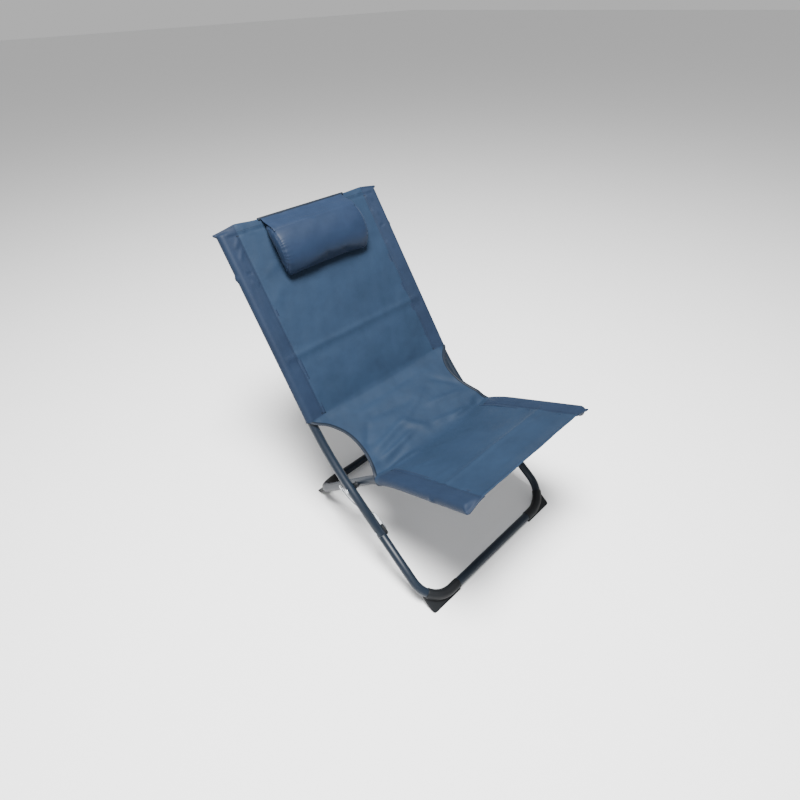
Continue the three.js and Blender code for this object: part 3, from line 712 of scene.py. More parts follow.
for side, sign in SIDES:
    softened_copy(f"stay_{side}", f"slotted_stay_{side}", 0.0004, 35, ZINC, f"stay_{side}", "zinc")
    softened_copy(
        f"joint_collar_{side}", f"collar_{side}", 0.0012, 40, PLASTIC, "back_frame", "black_plastic")
    for cap, body in (("back_cap", "back_frame"), ("seat_cap", "seat_frame")):
        softened_copy(f"{cap}_{side}", f"{cap}_plug_{side}", 0.0006, 40, PLASTIC, body, "black_plastic")
    softened_copy(f"leg_coupling_{side}", f"coupling_{side}", 0.0002, 40, ZINC, "back_frame", "zinc")

# %% [markdown]
# ## Corner feet
# Each foot is moulded in one piece: a sleeve that grips the corner of the tube, and a fin that
# carries the lines of the leg and the floor bar on to a square corner with a flat sole. Two closed
# shells, one carried along the corner and one cut to an outline, are fused by a fine voxel remesh
# and then smoothed, which leaves the small fillet that a mould gives where they meet.

# %% Moulded feet
FOOT_LENGTH, SLEEVE_WALL, FIN_THICKNESS, SOLE_REACH, CLIMB = 0.106, 0.0018, 0.008, 0.013, 0.62


def leg_axes(leg_up):
    """The directions of a leg's own plane: across the chair, up the leg, and off the plane upwards."""
    right, up = np.array([1.0, 0.0, 0.0]), at_x(0, leg_up)
    level = np.cross(right, up)
    return right, up, level if level[2] > 0 else -level


def corner_sleeve(half, bar, leg_up, corner_radius, outer, inner):
    """Points of a closed sleeve along a tube's corner, from the floor bar part of the way up the bend:
    the outer wall, the end, and the inner wall back."""
    right, up, level = leg_axes(leg_up)
    angle = np.linspace(0, CLIMB * math.pi / 2, 22)[:, None]
    straight = np.linspace(half - FOOT_LENGTH, half - corner_radius, 8, endpoint=False)[:, None]
    origin = at_x(0, bar)
    bend_points = (origin + (half - corner_radius + corner_radius * np.sin(angle)) * right
                   + corner_radius * (1 - np.cos(angle)) * up)
    points = np.concatenate([origin + straight * right, bend_points])
    bend_headings = np.cos(angle) * right + np.sin(angle) * up
    headings = np.concatenate([np.tile(right, (len(straight), 1)), bend_headings])
    around = np.linspace(0, 2 * math.pi, 48, endpoint=False)[None, :, None]
    ring = np.cos(around) * level[None, None] + np.sin(around) * np.cross(headings, level)[:, None]
    return np.concatenate([points[:, None] + outer * ring, (points[:, None] + inner * ring)[::-1]])


def fin_shell(half, bar, leg_up, corner_radius, tube_radius, slope):
    """The fin's two faces as rows of outline points: x across the chair, and a distance up the leg.
    Where the fin meets the floor, that distance follows from the face's depth under the leg."""
    right, up, level = leg_axes(leg_up)
    climb_angle = CLIMB * math.pi / 2
    top = corner_radius * (1 - math.cos(climb_angle))
    top_x = half - corner_radius + (corner_radius + tube_radius) * math.sin(climb_angle)
    edge = half - 0.001
    under = BAR_HEIGHT * math.cos(slope) - SOLE_REACH * math.sin(slope)
    faces = []
    for depth in (under, under + FIN_THICKNESS):
        floor = (depth * math.cos(slope) - BAR_HEIGHT) / math.sin(slope)
        outline = np.array([
            (half - FOOT_LENGTH, floor), (edge - 0.007, floor), (edge - 0.002, floor + 0.002),
            (edge, floor + 0.007), (edge, top - 0.016), (edge - 0.0005, top - 0.006), (top_x, top),
            (top_x - 0.012, top - 0.004), (half - corner_radius, 0.0), (half - FOOT_LENGTH, 0.0)])
        faces.append(at_x(0, bar) + outline[:, :1] * right + outline[:, 1:] * up - depth * level)
    return np.array(faces)


def foot(name, node, sign, half, bar, leg_up, corner_radius, tube_radius, slope, body):
    """One moulded foot from its two shells, fused and smoothed, mirrored for the left side."""
    walls = corner_sleeve(half, bar, leg_up, corner_radius, tube_radius + SLEEVE_WALL, tube_radius - 0.002)
    sleeve_quads, _ = grid_quads(*walls.shape[:2], wrap_rows=True, wrap_columns=True)
    fin = fin_shell(half, bar, leg_up, corner_radius, tube_radius, slope)
    count = fin.shape[1]
    start = walls.shape[0] * walls.shape[1]
    rim = np.arange(count)
    side_quads = np.stack([rim, np.roll(rim, -1), np.roll(rim, -1) + count, rim + count], axis=1) + start
    faces = sleeve_quads.tolist() + side_quads.tolist()
    faces += [(rim[::-1] + start).tolist(), (rim + start + count).tolist()]
    points = np.concatenate([walls.reshape(-1, 3), fin.reshape(-1, 3)]) * [sign, 1, 1]
    piece = tidy_shell(make_piece(name, points, faces))
    fused(piece, 0.0011)
    evened(piece, 5)
    apply_modifiers(piece)
    cloud = vertices_of(piece)
    cloud[:, 2] = np.maximum(cloud[:, 2], 0.0)
    set_vertices(piece, cloud)
    clad(piece, PLASTIC)
    print(name, "faces", len(piece.data.polygons), "lowest", round(float(cloud[:, 2].min()), 5))
    return stand_in(piece, body, "black_plastic", node)


for side, sign in SIDES:
    foot(f"front_corner_foot_{side}", f"front_foot_{side}", sign, BACK_X, front_bar, front_leg_up,
         FRONT_CORNER_R, LEG_R, math.radians(FRONT_LEG_ANGLE), "back_frame")
    foot(f"rear_corner_foot_{side}", f"rear_foot_{side}", sign, SEAT_X, rear_bar, rear_leg_up,
         REAR_CORNER_R, TUBE_R, math.radians(REAR_LEG_ANGLE), "seat_frame")

# %% [markdown]
# ## The sling
# One cut of coated cloth makes the back, the hip and the seat. Its side edges are folded round the
# tubes and sewn back to it in a double line, and both sides are cut away at the hip. The front of
# the cloth is one grid: rows run down the chair, and each row runs from one tube's outer side,
# over it, across the panel, and over the other tube. The rear half of each sleeve is a grid of its
# own that shares its first column with the front, so the two merge into one cloth.

# %% The line of the cloth down the chair
CLOTH = 0.0012
WRAP_R = TUBE_R + 0.0003 + CLOTH
PANEL_LIFT = 0.010
BACK_STITCH, SEAT_STITCH = 0.222, 0.189
BACK_END, SEAT_END = 0.098, -0.014


def lifted(corner, direction, distance, normal, lift):
    """A point at a distance along a line of the side profile, raised off it by lift."""
    return corner + distance * direction + lift * normal


def profile_path(corners, radii):
    """The bent path of (y, z) corner points, as (y, z) points and headings."""
    points, headings = bent_path([at_x(0, c) for c in corners], radii, 2.0)
    return points[:, 1:], headings[:, 1:]


def resample(points, spacing):
    """Points at even steps along a line, found by its running length."""
    run = running_length(points)
    at = np.linspace(0, run[-1], int(round(run[-1] / spacing)) + 1)
    return read_along(at, run, points), at


cloth_corners = [
    lifted(back_bend, back_up, 0.669, back_normal, PANEL_LIFT),
    lifted(back_bend, back_up, 0.099, back_normal, PANEL_LIFT),
    lifted(seat_bend, seat_forward, -0.010, seat_normal, PANEL_LIFT - 0.006),
    lifted(seat_bend, seat_forward, 0.080, seat_normal, PANEL_LIFT - 0.0005),
    lifted(seat_bend, seat_forward, 0.327, seat_normal, PANEL_LIFT)]
line_points, _ = profile_path(cloth_corners, [0.045, 0.060, 0.300])
line, way = resample(line_points, 0.004)
rows = len(line)
line_heading = unit(np.gradient(line, way, axis=0))
line_normal = np.stack([line_heading[:, 1], -line_heading[:, 0]], axis=1)
line_normal *= np.sign(line_normal[:, 1:])
up_back = (line - back_bend) @ back_up
along_seat = (line - seat_bend) @ seat_forward
is_back = np.arange(rows) < rows // 2
print("cloth length", round(way[-1], 3), "rows", rows)


def tube_line(corners, radius, corner, direction, distance):
    """Centre line of a bent tube at distances that are counted along a heading from its corner:
    (y, z) points and unit normals that point up."""
    points, headings = profile_path(corners, [radius])
    points = np.concatenate([points, points[-1:] + 0.06 * headings[-1:]])
    headings = np.concatenate([headings, headings[-1:]])
    reached = (points - corner) @ direction
    along = unit(read_along(distance, reached, headings))
    normal = np.stack([along[:, 1], -along[:, 0]], axis=1)
    return read_along(distance, reached, points), normal * np.where(normal[:, 1:] < 0, -1.0, 1.0)


back_centre, back_side = tube_line(
    [leg_end, back_bend, back_top], BACK_BEND_R, back_bend, back_up, up_back)
seat_centre, seat_side = tube_line(
    [seat_bend - 0.200 * rear_leg_up, seat_bend, seat_front], SEAT_BEND_R, seat_bend, seat_forward,
    along_seat)
on_back = np.where(is_back, smoothstep((up_back - 0.074) / 0.024), 0.0)[:, None]
on_seat = np.where(is_back, 0.0, smoothstep((along_seat + 0.040) / 0.028))[:, None]
tube_share = on_back + on_seat
tube_base = (on_back * (back_centre + PANEL_LIFT * back_side)
             + on_seat * (seat_centre + PANEL_LIFT * seat_side))
edge_base = tube_base + (1 - tube_share) * line
edge_normal = unit(on_back * back_side + on_seat * seat_side + (1 - tube_share) * line_normal)

# %% [markdown]
# ### Widths and the cut-outs
# Down each row four widths matter: the tube's place, the stitch line, the cloth's outer edge, and
# how far that edge goes round the tube. The two cut-outs are one smooth curve from the end of the
# back sleeve in to the waist and out again to the seat sleeve.

# %% Widths of every row
hip_y = line[:, 0] - FRONT_BAR_Y
cut_y = np.array([0.2290, 0.2347, 0.2480, 0.2623, 0.2994, 0.3394, 0.3851, 0.4184, 0.4412, 0.4490])
cut_x = np.array([0.2396, 0.2345, 0.2270, 0.2215, 0.2110, 0.2080, 0.2180, 0.2400, 0.2680, 0.2750])
cut_width = through(cut_y, cut_x, hip_y)
travel = smoothstep((hip_y - 0.229) / (0.455 - 0.229))
tube_x = SEAT_X + (BACK_X - SEAT_X) * travel
stitch_x = SEAT_STITCH + (BACK_STITCH - SEAT_STITCH) * smoothstep((hip_y - 0.300) / 0.150)


def wrap_section(stitch, centre, lift):
    """The cloth's path from the stitch line over a tube to its outer side, for each row: a straight
    part that touches the tube's circle, and the arc from there. Gives the touching angle, the length
    of the straight part and the whole length."""
    away, rise = stitch - centre, lift
    distance = np.hypot(away, rise)
    touch = np.arctan2(rise, away) - np.arccos(WRAP_R / distance)
    straight = np.sqrt(distance ** 2 - WRAP_R ** 2)
    return touch, straight, straight + WRAP_R * touch


touch, straight, whole = wrap_section(stitch_x, tube_x, np.full(rows, PANEL_LIFT))
touch_x = tube_x + WRAP_R * np.cos(touch)
beyond = np.clip((cut_width - tube_x) / WRAP_R, -1, 1)
edge_on_tube = straight + WRAP_R * (touch - np.arccos(beyond))
edge_before = (cut_width - stitch_x) * straight / (touch_x - stitch_x)
cut_length = np.where(cut_width > touch_x, edge_on_tube, edge_before)
sleeve_row = np.where(is_back, up_back >= BACK_END - 0.002, along_seat >= SEAT_END - 0.002)
reach = np.where(sleeve_row, whole, np.minimum(cut_length, whole))
print("sleeve rows", int(sleeve_row.sum()), "narrowest", round(float(cut_width[~sleeve_row].min()), 4))

# %% [markdown]
# ### Shape of the panel
# Between the stitch lines the cloth hangs a little below the tubes, is held up by the cross tube
# under the seat, and is thicker along its hems. Folds are long soft ridges: each has two ends, a
# width and a height, and fades out towards its ends. Their list is in metres across and down.

# %% Sag, hems and folds


def bell(value, centre, width):
    """A bump of height 1: e to the minus square of the distance over the width."""
    return np.exp(-((value - centre) / width) ** 2)


def fold(across, down, ends, width, height):
    """A ridge along the line between two points, (across, down) each. Its section is a bell, and its
    height falls to nothing at the ends."""
    (x0, w0), (x1, w1) = ends
    length = math.hypot(x1 - x0, w1 - w0)
    ux, uw = (x1 - x0) / length, (w1 - w0) / length
    t = ((across - x0) * ux + (down - w0) * uw) / length
    off = (across - x0) * -uw + (down - w0) * ux
    fade = smoothstep(t / 0.25) * smoothstep((1 - t) / 0.35)
    return height * fade * bell(off, 0.0, width)


# Each fold's two ends, as (across, down), its width and its height.
FOLDS = [
    (((-0.205, 0.745), (0.020, 0.690)), 0.0120, 0.0049),
    (((-0.200, 0.775), (-0.020, 0.745)), 0.0101, 0.0053),
    (((-0.195, 0.800), (-0.060, 0.812)), 0.0092, 0.0043),
    (((-0.200, 0.730), (-0.120, 0.640)), 0.0110, -0.0033),
    (((-0.060, 0.700), (0.010, 0.780)), 0.0129, 0.0056),
    (((0.000, 0.760), (0.190, 0.800)), 0.0110, 0.0046),
    (((0.205, 0.740), (0.030, 0.700)), 0.0120, 0.0043),
    (((0.200, 0.775), (0.060, 0.790)), 0.0092, 0.0043),
    (((0.205, 0.720), (0.120, 0.620)), 0.0110, -0.0030),
    (((-0.150, 0.640), (0.060, 0.665)), 0.0166, -0.0036),
    (((0.100, 0.650), (-0.040, 0.705)), 0.0147, 0.0033),
    (((-0.180, 0.600), (0.180, 0.596)), 0.0129, -0.0026),
    (((-0.215, 0.160), (-0.120, 0.115)), 0.0120, 0.0012),
    (((-0.215, 0.240), (-0.150, 0.180)), 0.0140, 0.0010),
    (((0.215, 0.150), (0.140, 0.110)), 0.0120, 0.0012),
    (((0.215, 0.330), (0.150, 0.420)), 0.0160, 0.0010),
    (((-0.215, 0.430), (-0.150, 0.520)), 0.0150, -0.0012),
    (((0.080, 0.560), (0.210, 0.500)), 0.0140, 0.0012),
    (((-0.170, 0.860), (-0.060, 0.930)), 0.0140, 0.0010),
    (((0.170, 0.870), (0.040, 0.950)), 0.0140, 0.0010),
    (((0.184, 1.010), (0.080, 1.080)), 0.0120, 0.0010),
    (((-0.231, 0.1335), (-0.252, 0.1300)), 0.0035, -0.0022),
    (((0.231, 0.1335), (0.252, 0.1300)), 0.0035, -0.0022),
    (((-0.224, 0.030), (-0.250, 0.062)), 0.0060, 0.0018),
    (((-0.228, 0.060), (-0.252, 0.098)), 0.0060, 0.0015),
    (((-0.226, 0.170), (-0.250, 0.150)), 0.0070, 0.0014),
    (((0.224, 0.026), (0.252, 0.050)), 0.0060, 0.0018),
    (((0.226, 0.072), (0.250, 0.100)), 0.0060, 0.0014),
    (((0.228, 0.180), (0.250, 0.215)), 0.0070, 0.0014),
    (((-0.215, 0.018), (-0.170, 0.030)), 0.0060, 0.0016),
    (((-0.222, 0.004), (-0.190, 0.018)), 0.0050, 0.0018),
    (((0.222, 0.006), (0.190, 0.022)), 0.0050, 0.0014),
]
print("folds", len(FOLDS))


def panel_shape(across, down, up, ahead, half):
    """How far the cloth stands off its line at each point: the sag, which is a cosine across the
    panel; the ridge over the cross tube; the hems; the crease across the back; and the folds."""
    middle = np.cos(np.clip(across / half, -1, 1) * math.pi / 2)
    back_part = smoothstep((up - 0.08) / 0.10)
    seat_part = smoothstep(ahead / 0.05)
    hip_part = np.clip(1 - back_part - seat_part, 0, 1)
    held = 1 - bell(ahead, 0.208, 0.055) * 0.95
    sag = (0.0050 * back_part * bell(up, 0.36, 0.24) + 0.0075 * hip_part
           + 0.0075 * seat_part * held * smoothstep((0.327 - ahead) / 0.05))
    shape = -sag * middle ** 0.8
    shape += (0.0030 * bell(ahead, 0.208, 0.008) - 0.0012 * bell(ahead, 0.180, 0.014)) * middle ** 0.3
    shape += 0.0018 * bell(up, 0.284, 0.009) - 0.0012 * bell(up, 0.262, 0.016)
    shape += 0.0011 * smoothstep((up - 0.6465) / 0.003) + 0.0010 * smoothstep((ahead - 0.3155) / 0.003)
    shape -= 0.0010 * bell(up, 0.6450, 0.0035)
    for ends, width, height in FOLDS:
        shape += fold(across, down, ends, width, height)
    shape += 0.0005 * np.sin(across * 41 + down * 13 + 1.3) * np.sin(down * 57 - across * 9)
    shape += 0.0003 * np.sin(across * 97 - down * 31) * np.sin(down * 83 + across * 44 + 0.7)
    return shape


def pucker(down, line_gap):
    """Small gathers beside a line of sewing, 11 mm apart: a wave along it that fades away from it, and
    the groove of the sewing itself."""
    wave = np.sin(down / 0.011 * 2 * math.pi + 1.4 * np.sin(down * 61))
    return 0.00022 * wave * np.exp(-np.abs(line_gap) / 0.006) - 0.0005 * bell(line_gap, 0.0, 0.0022)


# %% Front grid of the cloth
PANEL_STEPS, WRAP_STEPS = 34, 24
panel_share = np.linspace(0, 1, PANEL_STEPS + 1)
panel_share = 0.62 * panel_share + 0.38 * (1 - (1 - panel_share) ** 2.2)
wrap_share = np.linspace(0, 1, WRAP_STEPS + 1)[1:]


def stand_off(sign, across):
    """How far down the chair each point of the grid is, and how far it stands off its line: the
    panel's shape, and gathers at the stitch line where there is one."""
    down = np.broadcast_to(way[:, None], across.shape)
    up = np.where(is_back[:, None], up_back[:, None], -1.0) + 0 * across
    ahead = np.where(is_back[:, None], -1.0, along_seat[:, None]) + 0 * across
    stand = panel_shape(sign * across, down, up, ahead, 0.5 * (stitch_x + tube_x)[:, None])
    sewn = smoothstep((up - 0.106) / 0.004) + smoothstep((ahead - 0.002) / 0.004)
    return down, stand + pucker(down, across - stitch_x[:, None]) * sewn


def half_cloth(sign):
    """Positions and pattern of one half of the front grid, from the middle to the outer edge."""
    across = panel_share[None, :] * stitch_x[:, None]
    near_edge = smoothstep((panel_share[None, :, None] - 0.45) / 0.55)
    base = line[:, None] * (1 - near_edge) + edge_base[:, None] * near_edge
    normal = line_normal[:, None] * (1 - near_edge) + edge_normal[:, None] * near_edge
    down, stand = stand_off(sign, across)
    inner = np.concatenate([across[..., None], base + stand[..., None] * normal], axis=-1)
    inner_pattern = np.stack([across, down], axis=-1)

    walked = wrap_share[None, :] * reach[:, None]
    turned = np.clip((walked - straight[:, None]) / WRAP_R, 0, None)
    angle = touch[:, None] - turned
    flat = np.clip(walked / straight[:, None], 0, 1)
    x = np.where(turned > 0, tube_x[:, None] + WRAP_R * np.cos(angle),
                 stitch_x[:, None] + (touch_x - stitch_x)[:, None] * flat)
    rise = np.where(turned > 0, WRAP_R * np.sin(angle),
                    PANEL_LIFT + (WRAP_R * np.sin(touch)[:, None] - PANEL_LIFT) * flat)
    lift = (rise - PANEL_LIFT) * tube_share + (1 - tube_share) * 0.0015 * flat
    down, stand = stand_off(sign, x)
    on_flat = 1 - smoothstep((walked - 0.7 * straight[:, None]) / (0.3 * straight[:, None])) * tube_share
    lift += stand * on_flat
    outer = np.concatenate(
        [x[..., None], edge_base[:, None] + lift[..., None] * edge_normal[:, None]], axis=-1)
    outer_pattern = np.stack([stitch_x[:, None] + walked, down], axis=-1)
    cloud = np.concatenate([inner, outer], axis=1)
    pattern = np.concatenate([inner_pattern, outer_pattern], axis=1)
    return cloud * [sign, 1, 1], pattern * [sign, 1]


right_cloud, right_pattern = half_cloth(1.0)
left_cloud, left_pattern = half_cloth(-1.0)
front_cloud = np.concatenate([left_cloud[:, :0:-1], right_cloud], axis=1)
front_pattern = np.concatenate([left_pattern[:, :0:-1], right_pattern], axis=1)
print("front grid", front_cloud.shape)

# %% [markdown]
# ### Rear half of the sleeves
# From the tube's outer side the cloth goes on round the back of the tube, then straight to the
# panel's underside, where its last few millimetres lie flat and are sewn.

# %% Rear grids
REAR_STEPS = 20


def rear_half(sign, chosen):
    """Positions and pattern of a sleeve's rear half on the chosen rows."""
    stitch, centre = stitch_x[chosen], tube_x[chosen]
    lift = PANEL_LIFT - 2 * CLOTH - 0.0002
    away = stitch - centre
    distance = np.hypot(away, lift)
    leave = np.arctan2(lift, away) + np.arccos(WRAP_R / distance) - 2 * math.pi
    arc = -WRAP_R * leave
    run = np.sqrt(distance ** 2 - WRAP_R ** 2)
    total = arc + run + 0.008
    walked = np.linspace(0, 1, REAR_STEPS + 1)[None, :] * total[:, None]
    angle = np.maximum(-walked / WRAP_R, leave[:, None])
    leave_x = centre + WRAP_R * np.cos(leave)
    leave_n = WRAP_R * np.sin(leave)
    share = np.clip((walked - arc[:, None]) / run[:, None], 0, 1)
    past = np.clip(walked - (arc + run)[:, None], 0, None)
    on_arc = walked <= arc[:, None]
    x = np.where(on_arc, centre[:, None] + WRAP_R * np.cos(angle),
                 leave_x[:, None] + (stitch - leave_x)[:, None] * share - past)
    rise = np.where(on_arc, WRAP_R * np.sin(angle),
                    leave_n[:, None] + (lift - leave_n)[:, None] * share)
    base = edge_base[chosen] - PANEL_LIFT * edge_normal[chosen]
    cloud = np.concatenate(
        [x[..., None], base[:, None] + rise[..., None] * edge_normal[chosen][:, None]], axis=-1)
    down = np.broadcast_to(way[chosen][:, None], x.shape)
    pattern = np.stack([(stitch + whole[chosen])[:, None] + walked, down], axis=-1)
    return cloud * [sign, 1, 1], pattern * [sign, 1]


back_rows = np.flatnonzero(sleeve_row & is_back)
seat_rows = np.flatnonzero(sleeve_row & ~is_back)
rear_parts = {(side, part): rear_half(sign, chosen)
              for side, sign in SIDES for part, chosen in (("back", back_rows), ("seat", seat_rows))}

# %% [markdown]
# ### Closed ends of the sleeves
# At the top of the back and at the front of the seat each sleeve is pressed flat and sewn shut just
# past the tube's cap. The last rows move from the round section to a flat one, which is as wide as
# half the cloth round the tube, so the ends stand out a little beyond the tubes.

# %% Press the ends flat


def corner_rise(sign):
    """How far the end of a back sleeve stands above the top hem at the stitch line."""
    return 0.0055 if sign < 0 else 0.0020


def press_flat(cloud, pattern, chosen, sign, is_rear):
    """Moves the last rows of a sleeve towards its flat end. The flat place of a point is the stitch
    line plus its share of the way round, on a line that drops from the panel to the tube's middle."""
    of_back = is_back[chosen][:, None]
    close = np.where(of_back, smoothstep((up_back[chosen][:, None] - 0.6535) / 0.0100),
                     smoothstep((along_seat[chosen][:, None] - 0.3125) / 0.0100))
    stretch = np.where(of_back, 0.064, 0.054)
    stitch, full = stitch_x[chosen][:, None], whole[chosen][:, None]
    walked = np.abs(pattern[..., 0]) - stitch
    share = np.clip(walked / full, 0, 1)
    if is_rear:
        past = walked - full
        share = 1 - np.clip(past / past.max(1, keepdims=True), 0, 1) * 1.08
    drop = np.where(of_back, 0.0085, 0.0110)
    flat_n = PANEL_LIFT - drop * smoothstep(share) - (0.0022 if is_rear else 0.0)
    base = edge_base[chosen] - PANEL_LIFT * edge_normal[chosen]
    outward = np.where(of_back, back_up, seat_forward)
    tip = np.where(of_back, corner_rise(sign) * (1 - share) ** 2 - 0.0040 * share ** 2,
                   0.0010 * (1 - share) - 0.0030 * share)
    flat_profile = base[:, None] + flat_n[..., None] * edge_normal[chosen][:, None]
    flat_profile += (tip * close)[..., None] * outward[:, None]
    flat = np.concatenate([sign * (stitch + stretch * share)[..., None], flat_profile], axis=-1)
    weight = (close * (1.0 if is_rear else smoothstep(share * 10)))[..., None]
    return cloud * (1 - weight) + flat * weight


middle_column = PANEL_STEPS + WRAP_STEPS
for sign in (-1.0, 1.0):
    toward_side = smoothstep((sign * front_cloud[..., 0] - 0.150) / 0.072)
    last_rows = smoothstep((np.where(is_back, up_back, 0)[:, None] - 0.6500) / 0.0140)
    front_cloud[..., 1:] += (corner_rise(sign) * toward_side * last_rows)[..., None] * back_up
right_columns = slice(middle_column + PANEL_STEPS, None)
left_columns = slice(0, WRAP_STEPS + 1)
every_row = np.arange(rows)
for columns, sign in ((right_columns, 1.0), (left_columns, -1.0)):
    front_cloud[:, columns] = press_flat(
        front_cloud[:, columns], front_pattern[:, columns], every_row, sign, False)
for (side, part), (cloud, pattern) in list(rear_parts.items()):
    sign = dict(SIDES)[side]
    chosen = back_rows if part == "back" else seat_rows
    pressed = press_flat(cloud, pattern, chosen, sign, True)
    pressed[:, 0] = front_cloud[chosen, -1 if sign > 0 else 0]
    rear_parts[(side, part)] = (pressed, pattern)

# %% Bumps over the screw heads


def over_screws(cloud):
    """Pushes the cloth out along X over each cross tube's screw heads: a flat-topped bump whose
    height falls off with the fourth power of the distance from the screw's line."""
    for (_, centre, half, _), height in zip(CROSS_BARS, (0.0036, 0.0032)):
        away = np.linalg.norm(cloud[..., 1:] - centre, axis=-1)
        outside = smoothstep((np.abs(cloud[..., 0]) - half) / 0.006)
        cloud[..., 0] += np.sign(cloud[..., 0]) * height * outside * np.exp(-(away / 0.0085) ** 4)
    return cloud


front_cloud = over_screws(front_cloud)
rear_parts = {key: (over_screws(cloud), pattern) for key, (cloud, pattern) in rear_parts.items()}

# %% Join the grids into one cloth


def join_grids(grids, material, name):
    """One mesh from several grids of (points, pattern, flip), with points that coincide merged."""
    points, faces, uv, start = [], [], [], 0
    for cloud, pattern, flip in grids:
        quads, corners = grid_quads(*cloud.shape[:2])
        if flip:
            quads, corners = quads[:, ::-1], corners[:, ::-1]
        points.append(cloud.reshape(-1, 3))
        faces.append(quads + start)
        uv.append(pattern[corners[..., 0], corners[..., 1]])
        start += len(points[-1])
    points, faces, uv = (np.concatenate(v) for v in (points, faces, uv))
    piece = make_piece(name, points, faces, uv, material)
    with opened(piece) as shell:
        bmesh.ops.remove_doubles(shell, verts=shell.verts, dist=1e-5)
    return piece


grids = [(front_cloud, front_pattern, True)]
grids += [(cloud, pattern, side == "right") for (side, part), (cloud, pattern) in rear_parts.items()]
sling = join_grids(grids, SLING, "sling")
thicken(sling, CLOTH)
print("sling faces", len(sling.data.polygons))


def follow_sling(piece):
    """Bakes the piece's placement into its own mesh."""
    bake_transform(piece)


# %% [markdown]
# ## Sewing and edge binding
# Thread is made as real stitches: one small rounded grain is copied along each line of sewing and
# stands a little proud of the cloth. The cut-outs and the open ends of the sleeves are finished
# with a folded tape, whose section is carried along the cloth's edge.

# %% Stitches


def grid_normals(cloud):
    """Unit normals of a grid: the change along a column crossed with the change along a row."""
    return unit(np.cross(np.gradient(cloud, axis=0), np.gradient(cloud, axis=1)), 1e-12)


front_normals = grid_normals(front_cloud)
if front_normals[rows // 3, middle_column, 2] < 0:
    front_normals = -front_normals


def sewing(name, lines, spacing=0.0034, thickness=0.00042):
    """Stitches along several lines of (points, normals). Each is a grain: rings of a half circle's
    sine, stretched along the line and flattened on to the cloth."""
    centre, along, normal = [], [], []
    for points, normals in lines:
        run = running_length(points)
        at = np.arange(spacing / 2, run[-1], spacing)
        centre.append(read_along(at, run, points))
        along.append(unit(read_along(at + 5e-4, run, points) - read_along(at - 5e-4, run, points), 1e-12))
        normal.append(unit(read_along(at, run, normals)))
    centre, along, normal = (np.concatenate(v) for v in (centre, along, normal))
    beside = np.cross(normal, along)
    length = np.linspace(-1, 1, 5)[:, None, None, None]
    girth = np.sqrt(np.clip(1 - length ** 2 * 0.94, 0, 1))
    around = np.linspace(0, 2 * math.pi, 6, endpoint=False)[None, :, None, None]
    ring = np.cos(around) * beside + np.sin(around) * 0.75 * normal
    grain = length * along * spacing * 0.38 + girth * thickness * ring
    cloud = (grain + centre + 0.0001 * normal).transpose(2, 0, 1, 3)
    quads, _ = grid_quads(5, 6, wrap_columns=True)
    ends = np.array([[0, 5, 4, 3], [3, 2, 1, 0], [24, 25, 26, 27], [27, 28, 29, 24]])
    one = np.concatenate([quads, ends])
    faces = (one[None] + 30 * np.arange(len(cloud))[:, None, None]).reshape(-1, 4)
    return tidy_shell(make_piece(name, cloud, faces, None, THREAD), 1e-9)


def on_cloth(rows_there, columns):
    """Points and normals of a row or a column of the front grid."""
    return front_cloud[rows_there, columns], front_normals[rows_there, columns]


def row_near(place, on_the_back):
    """The row nearest to a distance up the back, or forward along the seat."""
    distance = up_back if on_the_back else along_seat
    return int(np.argmin(np.abs(distance - place) + 9 * (is_back != on_the_back)))


left_stitch, right_stitch = WRAP_STEPS, WRAP_STEPS + 2 * PANEL_STEPS
panel_columns = slice(left_stitch, right_stitch + 1)


def seams(sewn, hem, end):
    """Lines of sewing of one panel: two down each side, one along the hem, and one across each closed
    sleeve end."""
    down = [on_cloth(sewn, c) for c in (left_stitch, left_stitch - 2, right_stitch, right_stitch + 2)]
    return down + [on_cloth(hem, panel_columns), on_cloth(end, slice(0, WRAP_STEPS - 1)),
                   on_cloth(end, slice(right_stitch + 2, None))]


back_sewn = np.flatnonzero(is_back & (up_back > 0.108) & (up_back < 0.641))
seat_sewn = np.flatnonzero(~is_back & (along_seat > 0.004) & (along_seat < 0.324))
back_lines = seams(back_sewn, row_near(0.6515, True), row_near(0.6635, True))
seat_lines = seams(seat_sewn, row_near(0.3195, False), row_near(0.3235, False))
for name, lines, body in (
        ("back_sewing", back_lines, "back_frame"), ("seat_sewing", seat_lines, "seat_frame")):
    piece = stand_in(sewing(name, lines), body, "sling_cloth")
    print(name, "faces", len(piece.data.polygons))

# %% Bar tacks at the ends of the side seams


def bar_tack(points, normal, heading, width=0.010, length=0.0035):
    """A short dense block of stitches: lines of thread side by side."""
    beside = np.cross(normal, heading)
    lanes = np.linspace(-length / 2, length / 2, 5)
    steps = np.linspace(-width / 2, width / 2, 6)
    return [(points + lane * heading + steps[:, None] * beside, np.tile(normal, (6, 1)))
            for lane in lanes]


tacks = {"back_frame": [], "seat_frame": []}
for column in (left_stitch - 1, right_stitch + 1):
    for row in (back_sewn[-1], back_sewn[0], seat_sewn[0]):
        body = "back_frame" if is_back[row] else "seat_frame"
        tacks[body] += bar_tack(*on_cloth(row, column), at_x(0, line_heading[row]))
for body, lines in tacks.items():
    piece = sewing(f"bar_tacks_{body}", lines, spacing=0.0019, thickness=0.00038)
    stand_in(piece, body, "sling_cloth")

# %% Edge binding


def smooth_line(values, passes):
    """Evens out a line of values: each pass replaces a point by a quarter of each neighbour and half
    of itself."""
    for _ in range(passes):
        padded = np.concatenate([values[:1], values, values[-1:]])
        values = 0.25 * padded[:-2] + 0.5 * padded[1:-1] + 0.25 * padded[2:]
    return values


